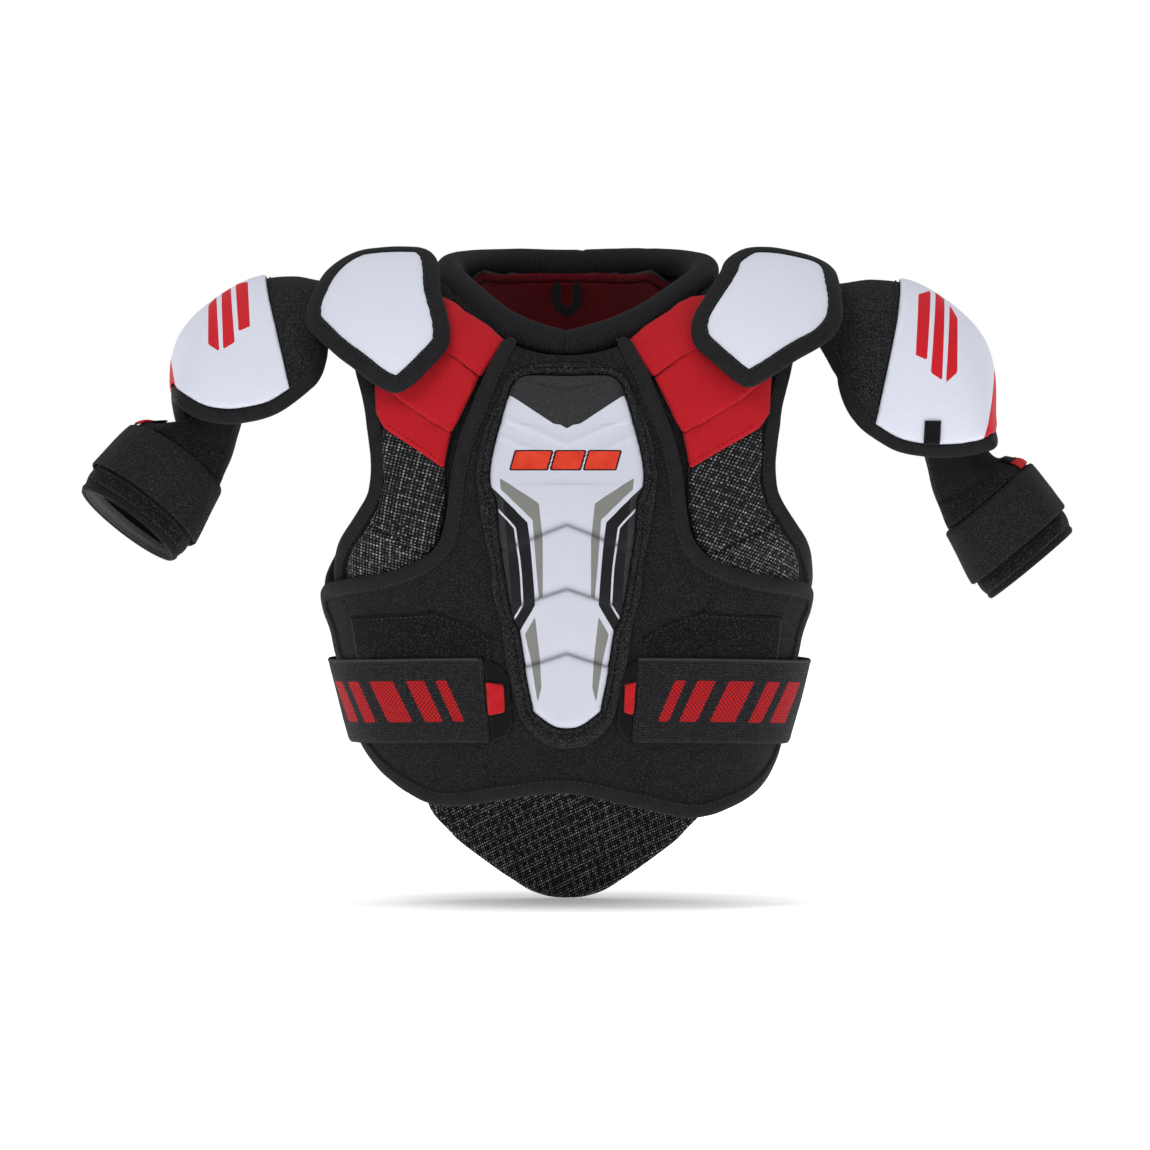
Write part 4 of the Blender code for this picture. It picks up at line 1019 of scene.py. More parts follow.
def make_binding():
    shade = Shader("binding_black", BLACK, 0.8, 0.04)
    along, around, _ = shade.axes()
    ribs = shade.checks(around, along, 1.5 * MM, 1.2 * MM)
    shade.finish(shade.mix(shade.noise(6 * MM, 4), COAL, (0.018, 0.018, 0.019)),
                 shade.plus(ribs, shade.times(shade.noise(7 * MM, 3), 1.4)), 0.22 * MM)


def make_collar_knit():
    """Rib knit that runs across the roll."""
    shade = Shader("collar_knit", BLACK, 0.9, 0.04)
    along, around, _ = shade.axes()
    ribs = shade.waves(along, 2.0 * MM)
    loops = shade.waves(around, 1.4 * MM)
    shade.finish(shade.mix(ribs, INK, (0.020, 0.020, 0.022)), shade.blended(loops, 0.2, ribs), 0.45 * MM)


def make_velvet():
    """Loop pile of the fastener."""
    shade = Shader("velvet_black", COAL, 0.95, 0.06)
    pile = shade.noise(1.2 * MM, 4)
    shade.finish(shade.mix(shade.above(pile, 0.60, 0.06), INK, FLECK), pile, 0.7 * MM)


def make_elastic(name, printed):
    """Woven elastic: fine ribs along it, and a red diamond weave where its print field is positive."""
    shade = Shader(name, BLACK, 0.85, 0.03)
    along, across, _ = shade.axes()
    ribs = shade.waves(across, 1.6 * MM)
    picks = shade.waves(along, 1.0 * MM)
    ground = shade.mix(ribs, INK, (0.015, 0.015, 0.017))
    lint = shade.above(shade.noise(1.1 * MM, 2), 0.60, 0.06)
    ground = shade.mix(shade.times(lint, 0.8), ground, LINT)
    if printed:
        one = shade.waves(shade.plus(along, across), 3.4 * MM)
        other = shade.waves(shade.minus(along, across), 3.4 * MM)
        lattice = shade.above(shade.math("MAXIMUM", one, other), 0.86, 0.10)
        red = shade.mix(lattice, (0.50, 0.014, 0.018), (0.10, 0.006, 0.008))
        ground = shade.inside("print", ground, red)
    shade.finish(shade.inside("selvage", ground, LINT), shade.blended(picks, 0.35, ribs), 0.30 * MM)


def make_liner():
    """Perforated tricot lining."""
    shade = Shader("liner_red", DARK_RED, 0.85, 0.05)
    along, across, _ = shade.axes()
    pits = shade.above(shade.checks(along, across, 3 * MM, 3 * MM), 0.80, 0.06)
    shade.finish(shade.mix(pits, (0.085, 0.002, 0.004), (0.02, 0.001, 0.002)),
                 shade.minus(shade.times(shade.noise(1.2 * MM), 0.4), pits), 0.4 * MM)


def make_plain(name, colour, rough=0.8, sheen=0.0, bumpy=1.0 * MM):
    shade = Shader(name, colour, rough, sheen)
    shade.finish(shade.mix(shade.noise(4 * MM, 3), colour, shaded(0.7, colour)),
                 shade.noise(bumpy, 3), 0.2 * MM)


def make_materials():
    make_neoprene("neoprene", BLACK, FLECK)
    make_neoprene("neoprene_speckled", BLACK, (0.060, 0.060, 0.063))
    make_neoprene("lining_black", INK, (0.014, 0.014, 0.015), 0.0)
    make_twill("twill_red", RED, (0.30, 0.006, 0.010))
    make_twill("ribbon_red", (0.58, 0.014, 0.020), (0.34, 0.008, 0.012), 1.0 * MM, 0.0)
    make_twill("webbing_black", BLACK, (0.005, 0.005, 0.006), 1.3 * MM, 1.0)
    make_plate()
    make_guard()
    make_white()
    make_rib_mesh()
    make_rib_mesh("tail_mesh", (0.50, 0.50, 0.51), 2.5 * MM, 9.0 * MM, False)
    make_binding()
    make_collar_knit()
    make_velvet()
    make_elastic("elastic_black", False)
    make_elastic("elastic_print", True)
    make_liner()
    make_plain("thread_black", FLECK, 0.6)
    make_plain("thread_ink", (0.003, 0.003, 0.003), 0.6)
    make_plain("thread_red", (0.40, 0.010, 0.014), 0.6)
    make_plain("foam_grey", (0.10, 0.10, 0.11), 0.9, 0.0, 1.6 * MM)
    # Satin lining at the sleeves' ends: real shine from its roughness and sheen, and a light grey that is
    # partly its own colour and partly painted sheen.
    make_plain("satin_grey_painted_sheen", (0.15, 0.15, 0.16), 0.45, 0.15, 2 * MM)


# ---- front of the torso ----

def groove(spots, line, width, depth):
    return -depth * np.exp(-(distances(spots, line, closed=False) / width) ** 2)


def make_chest():
    middle = CHEST_FACE - 0.5 * CHEST_THICK
    outline = flipped(CHEST_NECK + CHEST_EDGES[LEFT], LEFT)
    outline += flipped(CHEST_EDGES[RIGHT][-2::-1] + CHEST_NECK[:0:-1], RIGHT)
    edge = smooth(laid(outline, middle), 4 * MM)
    seams = [placed(seam, side, CHEST_FACE) for seam in CHEST_SEAMS for side in (LEFT, RIGHT)]
    add_pad("torso", "black_knit", ["chest_panel"], 0.5, "chest_panel_cover", moved(edge, PANEL_INSET),
            TORSO, CHEST_FACE, CHEST_THICK, ["neoprene", "lining_black"], lines=seams,
            height=relief(0.9, 14, 0.5, (0.35, 60, 3), seams, 3.2, 1.9))
    rim = flipped((CHEST_TAPE_START,) + CHEST_EDGES[LEFT], LEFT)
    rim += flipped(CHEST_EDGES[RIGHT][-2::-1] + (CHEST_TAPE_START,), RIGHT)
    rim = smooth(laid(rim, middle), 4 * MM, closed=False)
    path = moved(rim, -TAPE_INSET, closed=False)
    stitches = add_tape("torso", "chest_panel_binding", "chest_panel_tape", path, TORSO,
                        middle + 2.2 * MM, stitch_side=-1)
    return [stitches] + [run_on(TORSO, seam, CHEST_FACE - 0.7 * MM) for seam in seams]


def plate_fields(spots, _):
    white = laid(full(WHITE_FIELD), PLATE_FACE)
    fields = {"white": depth_in(spots, white)}
    greys = [placed(stripe, side, PLATE_FACE) for stripe in GREY_STRIPES for side in (LEFT, RIGHT)]
    fields["grey"] = np.max([depth_in(spots, grey) for grey in greys], axis=0)
    lines = [placed(WHITE_LINE, side, PLATE_FACE) for side in (LEFT, RIGHT)]
    apart = np.min([distances(spots, line, closed=False) for line in lines], axis=0)
    taper = np.interp(spots[:, 1] - SHOULDER_LINE, (-164 * MM, -150 * MM), (1.2 * MM, 0.75 * MM))
    fields["line"] = taper - apart
    bars = [laid(bar, PLATE_FACE) for bar in PLATE_BARS]
    fields["bars"] = np.max([depth_in(spots, bar) for bar in bars], axis=0)
    fields["outline"] = fields["bars"] + 1.1 * MM
    inner = np.interp(np.abs(spots[:, 0]), (0, 38 * MM), (0, 1))
    height = spots[:, 1] + SHOULDER_LINE
    above = [height - (middle * MM - slope * np.abs(spots[:, 0])) for middle, slope in PLATE_CHEVRONS]
    # Painted shade: largest just above each chevron step, where the step shades the plate.
    fields["shade"] = np.max([np.exp(-np.abs(drop - 0.9 * MM) / (1.6 * MM)) for drop in above], axis=0)
    wing = np.where(np.abs(spots[:, 0]) < PLATE_WING_WIDTH, 1.0, -1.0)
    fields["wing"] = wing * inner * (spots[:, 1] < PLATE_WING_END)
    return fields


def plate_height(spots, edge):
    """A bevelled rim, shingle steps at the chevrons, and a dip under the top edge."""
    x, z = np.abs(spots[:, 0]), spots[:, 1] + SHOULDER_LINE
    rise = -2.2 * MM * (1 - np.clip(edge / (7 * MM), 0, 1)) ** 2
    for middle, slope in PLATE_CHEVRONS:
        above = z - (middle * MM - slope * x)
        rise -= 3.6 * MM * np.exp(-np.maximum(above, 0) / (7 * MM)) * np.clip(above / (1.2 * MM), 0, 1)
    rise += 1.2 * MM * np.exp(-(x / (26 * MM)) ** 2) * (z < -150 * MM)
    dip = laid(PLATE_DIP, PLATE_FACE)
    rise += groove(spots, dip, 2.0 * MM, 2.4 * MM)
    for drop, size in ((16, 1.1), (34, 0.8)):
        wing = z + (102 + drop) * MM - 0.58 * x
        rise += size * MM * np.exp(-(wing / (3.2 * MM)) ** 2) * (z < -80 * MM) * (x < 44 * MM)
    return rise


def make_sternum():
    border = smooth(laid(full(STERNUM_EDGE), BORDER_FACE), 3 * MM)
    plate = smooth(laid(full(PLATE_EDGE), BORDER_FACE), 2.6 * MM)
    add_pad("torso", "white_shell", ["sternum_plate"], 0.7, "sternum_plate_cover", plate, TORSO,
            PLATE_FACE, PLATE_THICK, ["plate_print", "lining_black"], step=1.25 * MM, round_edge=3 * MM,
            height=plate_height, fields=plate_fields)
    hole = moved(plate, -0.6 * MM)

    def height(spots, edge):
        inner = distances(spots, hole)
        ridge = 1.3 * MM * np.exp(-((inner - 9.5 * MM) / (2.6 * MM)) ** 2)
        return ridge - 1.0 * MM * np.exp(-((inner - 5 * MM) / (1.3 * MM)) ** 2)

    add_pad("torso", "binding", ["sternum_border"], None, "sternum_border_cover", border, TORSO,
            BORDER_FACE, BORDER_THICK, ["neoprene_speckled", "lining_black"], step=1.5 * MM,
            round_edge=2.5 * MM, height=height, holes=[hole])
    add_pad("torso", "foam", ["sternum_foam"], 0.8, "sternum_foam_core",
            smooth(laid(full(FOAM_EDGE), YOKE_FACE), 8 * MM), TORSO, YOKE_FACE, YOKE_THICK,
            ["foam_grey"], step=5 * MM)
    return [run_on(TORSO, moved(plate, -5.4 * MM), BORDER_FACE - 0.7 * MM, closed=True)]


def make_yoke(side, word):
    edge = placed_near(ARMHOLE_EDGE, side, YOKE_FACE)
    inner = placed_near(YOKE_INNER, side, YOKE_FACE)
    top = placed_near([(178, -16)], side, YOKE_FACE)
    rim = smooth(np.concatenate([top, edge]), 4 * MM, closed=False)
    panel = np.concatenate([moved(rim, side * -PANEL_INSET, closed=False),
                            straight(inner, 5 * MM, closed=False)])
    add_pad("torso", "black_knit", [f"{word}_yoke_pad"], 0.5, f"{word}_yoke_cover", panel, TORSO,
            YOKE_FACE, YOKE_THICK, ["neoprene", "lining_black"], step=3 * MM)
    path = moved(rim, side * -TAPE_INSET, closed=False)
    return [add_tape("torso", f"{word}_yoke_binding", f"{word}_yoke_tape", path, TORSO,
                     YOKE_FACE - 0.5 * YOKE_THICK + 2.2 * MM, stitch_side=-side)]


def make_skins(side, word):
    """The red collar bone pads, each raised where it overlaps the next, and the mesh over the ribs."""
    runs = []
    for place, points in CLAVICLE_EDGES.items():
        outline = straight(placed_near(points, side, SKIN_FACE), 3.6 * MM)
        step = placed_near(CLAVICLE_STEPS[place], side, SKIN_FACE)

        def height(spots, edge, step=step, rise=CLAVICLE_RISES[place]):
            raised = rise * np.exp(-distances(spots, step, closed=False) / (13 * MM))
            return raised + crown(edge, 0.9, 10) + 0.25 * MM * ripple(spots, 24 * MM, 7)

        add_pad("torso", "red_twill", [f"{word}_clavicle_pad_{place}"], 0.6,
                f"{word}_clavicle_cover_{place}", outline, TORSO, SKIN_FACE, SKIN_THICK,
                ["twill_red", "lining_black"], step=1.8 * MM, round_edge=1.6 * MM, height=height)
    seam = placed_near(SKIN_SEAM, side, SKIN_FACE)
    runs.append(run_on(TORSO, seam, SKIN_FACE + 1.5 * MM))
    outline = straight(placed_near(RIB_EDGE, side, SKIN_FACE), 4 * MM)
    emboss = placed_near(RIB_EMBOSS, side, SKIN_FACE)

    def rib_height(spots, edge):
        crowned = crown(edge, 1.2, 16) + 0.3 * MM * ripple(spots, 30 * MM, 11)
        ridge = 2.2 * MM * np.exp(-((distances(spots, emboss, closed=False) - 3.4 * MM) / (2.2 * MM)) ** 2)
        return crowned - 0.8 * MM + ridge + groove(spots, emboss, 2 * MM, 2.4 * MM)

    def rib_fields(spots, _):
        return {"dense": np.clip((-185 * MM - SHOULDER_LINE - spots[:, 1]) / (12 * MM), 0, 1)}

    add_pad("torso", "black_mesh", [f"{word}_rib_pad"], 0.5, f"{word}_rib_cover", outline, TORSO,
            SKIN_FACE, SKIN_THICK, ["rib_mesh"], step=2.2 * MM, height=rib_height, lines=[emboss],
            fields=rib_fields)
    return runs


def make_loop_patch(side, word):
    outline = straight(placed(PATCH_EDGE, side, PATCH_FACE), 4 * MM)
    add_pad("torso", "black_elastic", [f"{word}_loop_patch"], None, f"{word}_loop_pile", outline, TORSO,
            PATCH_FACE, PATCH_THICK, ["velvet_black"], step=3 * MM, round_edge=1.2 * MM)
    return [run_on(TORSO, moved(outline, 2.4 * MM), PATCH_FACE + 0.1 * MM, closed=True)]


# ---- over the shoulders and behind ----

def make_bridge(side, word):
    low, high = BRIDGE_FRONT * SHOULDER_ARC, BRIDGE_BACK * SHOULDER_ARC
    inside, outside = side * BRIDGE_INSIDE[side], side * BRIDGE_OUTSIDE
    corners = [(inside, low), (outside, low), (outside, high), (inside, high)]
    add_pad("torso", "black_knit", [f"{word}_shoulder_bridge"], 0.6, f"{word}_shoulder_bridge_cover",
            straight(corners, 4 * MM), over_shoulder(), YOKE_FACE + 1 * MM, YOKE_THICK + 1 * MM,
            ["neoprene", "liner_red"], step=3 * MM)


def behind(points, face, step, closed=True):
    """A smooth line on the back, seen at those x, z in millimetres."""
    return smooth(laid(points, face, behind=True), step, closed)


def make_back():
    """The back panel with its tape and quilted lining."""
    middle = BACK_FACE - 0.5 * BACK_THICK
    edge = behind(full(BACK_EDGE), middle, 4 * MM)
    seams = [behind(flipped(seam, side), BACK_FACE, 6 * MM, False) for side in (LEFT, RIGHT)
             for seam in BACK_SEAMS]
    add_pad("torso", "black_knit", ["back_panel"], 0.5, "back_panel_cover", moved(edge, PANEL_INSET),
            TORSO, BACK_FACE, BACK_THICK, ["neoprene", "liner_red"], step=3 * MM, lines=seams,
            height=relief(1.6, 18, 0.6, (0.5, 55, 5), seams, 4, 2.2))
    rim = flipped(BACK_EDGE[3:], LEFT) + flipped(BACK_EDGE[-2:2:-1], RIGHT)
    rim = behind(rim, middle, 4 * MM, False)
    path = moved(rim, TAPE_INSET, closed=False)
    stitches = add_tape("torso", "back_panel_binding", "back_panel_tape", path, TORSO, middle)
    quilt = [laid([(x, 4), (x, -130), (x, -366)], LINER_FACE, True) for x in (-100, -50, 0, 50, 100)]
    add_pad("torso", "red_liner", ["back_liner"], 0.3, "back_lining", moved(edge, 11 * MM), TORSO,
            LINER_FACE, LINER_THICK, ["liner_red"], step=3.4 * MM,
            height=relief(-1.6, 12, 1, (0.3, 26, 9), quilt, 3, -1.0))
    return [stitches] + [run_on(TORSO, seam, BACK_FACE - 0.3 * MM) for seam in seams]


def make_spine():
    spine = behind(full(SPINE_EDGE), GUARD_FACE, 4 * MM)
    ribs = [laid([(-40, z), (40, z)], GUARD_FACE, True) for z in (-90, -140, -190, -240, -290)]
    add_pad("torso", "black_knit", ["spine_guard"], 0.8, "spine_guard_cover", spine, TORSO, GUARD_FACE,
            SPINE_THICK, ["neoprene_speckled"], step=2.2 * MM, round_edge=4 * MM,
            height=relief(1.4, 12, lines=ribs, width=3.4, depth=2.8, lower=1.4))
    return [run_on(TORSO, moved(spine, 3 * MM), GUARD_FACE - 1.4 * MM, closed=True)]


def make_tail():
    """The tail pad, with a quilted inner face towards the wearer."""
    outline = behind(full(TAIL_EDGE), BACK_FACE, 4 * MM)
    folds = [behind(flipped(TAIL_SEAM, side), BACK_FACE, 5 * MM, False) for side in (LEFT, RIGHT)]
    add_pad("torso", "black_mesh", ["tail_pad"], 0.5, "tail_cover", outline, TORSO, BACK_FACE, BACK_THICK,
            ["neoprene", "tail_mesh"], step=2.4 * MM, round_edge=3.2 * MM, lines=folds,
            height=relief(1.0, 14, lines=folds, width=2.4, depth=4.6))
    add_pad("torso", "black_mesh", (), 0.3, "tail_lining", moved(outline, 3 * MM), TORSO,
            BACK_FACE - BACK_THICK, 1.6 * MM, ["tail_mesh"], step=2 * MM, round_edge=0.8 * MM,
            lines=folds, height=relief(-1.8, 14, lines=folds, width=2.6, depth=-4.4))


def make_scapula(side, word):
    outline = behind(flipped(SCAPULA_EDGE, side), GUARD_FACE, 4 * MM)
    cells = [behind(flipped(((52, z), (96, z - 8), (134, z)), side), SCAPULA_FACE, 6 * MM, False)
             for z in (-80, -130)]
    add_pad("torso", "black_knit", [f"{word}_scapula_pad"], 0.7, f"{word}_scapula_cover", outline, TORSO,
            SCAPULA_FACE, SCAPULA_THICK, ["neoprene"], step=2.6 * MM, round_edge=3 * MM, lines=cells,
            height=relief(1.8, 12, 0.6, lines=cells, width=3, depth=2.2, lower=1))
    return [run_on(TORSO, moved(outline, 3.2 * MM), SCAPULA_FACE - 0.2 * MM, closed=True)]


def make_collar():
    """The neck roll, and the stand under it with its lining."""
    halves = {}
    for side in (LEFT, RIGHT):
        half = np.array(COLLAR_LINE, float)
        half[:, 0] += COLLAR_SPREAD[side] * np.maximum(half[:, 0] - 30, 0) / 61
        halves[side] = half * (side * MM, MM, MM)
    loop = np.concatenate([halves[LEFT], halves[RIGHT][-2:0:-1]])
    path = even(smooth(loop, 4 * MM), COLLAR_STEP, closed=True)
    total = COLLAR_STEP * len(path)
    outward = unit(path * (1, 1, 0) + (0, 0, 0.02))

    def swell(lengths):
        """Pinched at the seams in the middle of the front and back, and creased in between."""
        centre = np.minimum(np.abs(lengths - 0.5 * total), np.minimum(lengths, total - lengths))
        pinch = 0.10 * np.exp(-(centre / (1.8 * MM)) ** 2)
        back = np.clip(1 - np.abs(lengths - 0.5 * total) / (0.17 * total), 0, 1)
        lines = columns_of(lengths, lengths * 0)
        creases = np.maximum(ripple(lines, 15 * MM, 21), 0) ** 2 * 0.16 * back
        return 1 + 0.20 * np.minimum(2 * back, 1) - pinch - creases + 0.02 * ripple(lines, 50 * MM, 22)

    piece = sweep("collar_roll_cover", path, outward, (COLLAR_RADIUS, COLLAR_RADIUS), ["collar_knit"],
                  closed=True, swell=swell, sides=36, square=2.0)
    keep(piece, "torso", "black_knit", ["collar_roll"], 0.9)
    for name, shift, finish, slot in (("collar_stand", 2.2 * MM, "neoprene", "black_knit"),
                                      ("collar_stand_lining", -1.0 * MM, "liner_red", "red_liner")):
        under = path + outward * shift - (0, 0, COLLAR_STAND_DROP)
        piece = sweep(name, under, outward, (13 * MM, 1.5 * MM), [finish], closed=True, square=4)
        keep(piece, "torso", slot, fill=0.3)


def make_hang_loop():
    """Flat webbing, folded to a point at the bottom."""
    line = np.array(HANG_LOOP_LINE) * MM
    path = even(smooth(line, 2 * MM, closed=False), 1.5 * MM)
    normals = np.tile((0.0, -1.0, 0.0), (len(path), 1))
    piece = sweep("hang_loop_webbing", path, normals, (3.6 * MM, 0.9 * MM), ["webbing_black"], square=5)
    keep(piece, "torso", "black_elastic", ["hang_loop"])


# ---- waist straps ----

def make_waist_strap(side, word):
    """Woven elastic from the pull tab round the side to the back, sewn down behind the hinge."""
    low, high = WAIST_BOTTOM * MM - SHOULDER_LINE, WAIST_TOP * MM - SHOULDER_LINE
    start = laid([(side * WAIST_FRONT_END[side], WAIST_TOP)], STRAP_FACE)[0, 0]
    end = side * (HALF_ROUND - WAIST_BACK_END * MM)
    outline = straight([(start, low), (end, low), (end, high), (start, high)], 4.4 * MM)
    tall = high - low

    def height(spots, edge):
        """It lies flat on the pile in front and bows out a little at the side."""
        share = np.clip((np.abs(spots[:, 0]) - 150 * MM) / (60 * MM), 0, 1)
        wavy = 0.5 * MM * ripple(spots, 45 * MM, 31 + side)
        lip = 0.5 * MM * np.exp(-((edge - 1.2 * MM) / (1 * MM)) ** 2)
        return WAIST_BOW[side] * share + wavy + lip

    def fields(spots, edge):
        """Slanted bars that widen towards the side."""
        out, up = np.abs(spots[:, 0]) - abs(start), (spots[:, 1] - low) / tall
        bars = np.full(len(spots), -1.0)
        slanted = out - WAIST_BAR_SLANT * (up - 0.5)
        for first, wide in WAIST_BARS:
            inside = 0.5 * wide * MM - np.abs(slanted - (first + 0.5 * wide) * MM)
            bars = np.maximum(bars, inside)
        bars = np.minimum(bars, (0.24 - np.abs(up - 0.5)) * tall)
        return {"print": bars, "selvage": 0.9 * MM - np.abs(high - spots[:, 1] - 1.2 * MM)}

    piece = add_panel(f"{word}_waist_elastic", outline, TORSO, STRAP_FACE, STRAP_THICK, ["elastic_print"],
                      step=2.2 * MM, round_edge=1 * MM, height=height, fields=fields)
    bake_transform(piece)
    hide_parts(f"{word}_waist_strap", f"{word}_waist_strap_anchor")
    make_pull_tab(side, word, start, low, high)
    seam = np.array([(start + side * 3 * MM, low + 2 * MM), (start + side * 3 * MM, high - 2 * MM)])
    return [run_on(TORSO, seam, STRAP_FACE + 0.4 * MM)]


def make_pull_tab(side, word, start, low, high):
    """A red ribbon end that shows between the elastic and a folded black tab."""
    tip = laid([(side * WAIST_TAB_END[side], WAIST_TOP)], STRAP_FACE)[0, 0]
    middle, tall = 0.5 * (low + high), high - low
    body, edge = f"{word}_waist_strap", start - side * 0.5 * MM
    outer = [(edge, low + 1 * MM), (edge, high - 1 * MM), (tip + side * 5 * MM, high - 8 * MM),
             (tip, high - 16 * MM), (tip, low + 14 * MM), (tip + side * 5 * MM, low + 5 * MM)]
    add_pad(body, "black_elastic", (), None, f"{word}_waist_tab_black", straight(outer, 3 * MM), TORSO,
            STRAP_FACE - 0.6 * MM, 1.6 * MM, ["webbing_black"], step=1.8 * MM, round_edge=0.8 * MM,
            height=relief(0, 1, wave=(0.5, 16, 5)))
    edge = start - side * 0.2 * MM
    ribbon = [(edge, middle - 0.17 * tall), (edge, middle + 0.22 * tall),
              (tip + side * 4 * MM, middle + 0.19 * tall), (tip + side * 4.6 * MM, middle - 0.13 * tall)]
    add_pad(body, "red_twill", [f"{word}_waist_pull_tab"], None, f"{word}_waist_ribbon_red",
            straight(ribbon, 3 * MM), TORSO, STRAP_FACE + 1.6 * MM, 1.6 * MM, ["ribbon_red"],
            step=1.4 * MM, round_edge=0.8 * MM, height=relief(0, 1, wave=(1.6, 13, 8)))


# ---- shoulder caps ----

def make_shoulder_cap(side, word):
    form = dome(side)
    edge = smooth([dome_place(side, x, z, CAP_MID) for x, z in CAP_OUTLINES[side]], 3.4 * MM)
    body = f"{word}_shoulder_cap"
    add_pad(body, "white_shell", [f"{body}_shell"], None, f"{word}_cap_cover", moved(edge, TOP_INSET), form,
            CAP_FACE - 0.4 * MM, 2.4 * MM, ["shell_white", "lining_black"], step=2 * MM,
            round_edge=1.4 * MM, height=relief(1.0, 16, 0.7, (0.3, 50, 2)))
    add_pad(body, "foam", [f"{body}_pad"], 0.8, f"{word}_cap_padding", moved(edge, PANEL_INSET), form,
            CAP_FACE - 3.2 * MM, 4 * MM, ["lining_black"], step=3 * MM)
    stitches = add_tape(body, f"{body}_binding", f"{word}_cap_tape", moved(edge, TAPE_INSET), form,
                        CAP_MID + 1.2 * MM, half_width=7.6 * MM, closed=True)
    add_stitches(body, "binding", f"{word}_cap_stitches", [stitches])


def make_cap_hinge(side, word):
    """The soft web that the cap is sewn to, up from the shoulder to the cap's rear edge."""
    path = smooth(CAP_HINGE_PATH, 2, closed=False) * MM
    middle, rise = CAP_HINGE_MIDDLE[side]
    across = np.linspace(-CAP_HINGE_HALF, CAP_HINGE_HALF, 24)
    lift = np.clip(path[:, 1] / (30 * MM), 0, 1) * rise * MM
    pull = 1 - 0.16 * np.sin(math.pi * np.linspace(0, 1, len(path)))
    xs = side * (middle * MM + across[None] * pull[:, None])
    ys = path[:, :1] + 0.9 * MM * np.cos(3 * math.pi * across / CAP_HINGE_HALF)[None]
    zs = np.broadcast_to((path[:, 1] + lift)[:, None], xs.shape)
    rows = columns_of(xs, ys, zs)
    piece = add_slab(f"{word}_cap_hinge_web", rows, HINGE_DROP, "neoprene_speckled", side)
    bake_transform(piece)


# ---- arms ----

def arm_rim(side):
    rim = [(out * MM, part * float(arm_edge(out * MM))) for out, part in ARM_RIMS[side]]
    rim = rim + [(out, -ARM_BACK_PART * around) for out, around in rim[-2::-1]]
    return smooth(rim, 4 * MM, closed=False)


def guard_outline(rim, side):
    guard = moved(rim, -TOP_INSET, closed=False)
    guard[:, 0] = np.minimum(guard[:, 0], ARM_RIMS[side][-1][0] * MM - 12 * MM)

    def starts(around):
        return GUARD_START + GUARD_SLANT * (np.abs(around) / float(arm_edge(GUARD_START))) ** 1.5

    guard = guard[guard[:, 0] > starts(guard[:, 1]) + 2 * MM]
    back = np.linspace(guard[-1, 1], guard[0, 1], GUARD_START_POINTS)
    return np.concatenate([guard, columns_of(starts(back), back)])


def guard_fields(side):
    """Red slanted bars on the front, and a red stripe down the outer ridge, by place in the arm's frame."""
    def fields(spots, edge):
        world = arm_cap_form(side).at(spots)
        matrix = np.array(arm_place(side).inverted())
        own = world @ matrix[:3, :3].T + matrix[:3, 3]
        seen = own[:, [0, 2]] * (side, 1)
        motif = np.max([depth_in(seen, np.array(bar) * MM) for bar in MOTIF_BARS], axis=0)
        motif = np.where(own[:, 1] < 0, motif, -1.0)
        ridge = seen[:, 0] - np.interp(seen[:, 1], *(np.array(STRIPE_LIMIT) * MM))
        return {"motif": np.maximum(motif, np.where(seen[:, 1] < -24 * MM, ridge, -1.0))}
    return fields


def make_arm_cap(side, word):
    form = arm_cap_form(side)
    rim = arm_rim(side)
    body = f"{word}_arm"
    inner = moved(rim, -PANEL_INSET, closed=False)
    inner[:, 0] = np.minimum(inner[:, 0], ARM_RIMS[side][-1][0] * MM - 7 * MM)
    inner[0, 0] = inner[-1, 0] = -ARM_TUCK[side]
    end = np.linspace(inner[-1, 1], inner[0, 1], 24)[1:-1]
    outline = np.concatenate([inner, columns_of(np.full(22, -ARM_TUCK[side]), end)])
    add_pad(body, "black_knit", [f"{word}_arm_cap"], 0.6, f"{word}_arm_cap_cover", outline, form,
            ARM_FACE - 0.8 * MM, ARM_THICK, ["neoprene_speckled", "lining_black"], step=2.8 * MM,
            round_edge=3 * MM, height=relief(1.0, 18, 0.6, (0.5, 42, 13)))
    path = moved(rim, -TAPE_INSET, closed=False)
    stitches = add_tape(body, f"{word}_arm_cap_binding", f"{word}_arm_cap_tape", path, form,
                        ARM_FACE - 0.5 * ARM_THICK + 0.6 * MM, half_width=6.6 * MM,
                        half_height=4.8 * MM, stitch_side=-1)
    stitches = tuple(rows[HIDDEN_STITCHES:-HIDDEN_STITCHES] for rows in stitches)
    guard = guard_outline(rim, side)
    add_pad(body, "white_shell", [f"{word}_bicep_guard"], None, f"{word}_bicep_guard_cover", guard, form,
            0.0, 2.6 * MM, ["guard_print", "lining_black"], step=1.8 * MM, round_edge=1.4 * MM,
            height=relief(1.1, 20, 0.6, (0.3, 60, 17)), fields=guard_fields(side))
    start = guard[-GUARD_START_POINTS:] - (2.6 * MM, 0)
    runs = [stitches, run_on(form, start, ARM_FACE + 0.7 * MM)]
    add_stitches(body, "binding", f"{word}_arm_stitches", runs)
    if side == LEFT:
        corners = seen_at(form, side, TAB_CORNERS, (110 * MM, 115 * MM))
        add_pad(body, "black_elastic", (), None, "left_arm_webbing_tab", straight(corners, 3 * MM), form,
                3.6 * MM, 2 * MM, ["webbing_black"], step=1.6 * MM, round_edge=0.8 * MM)


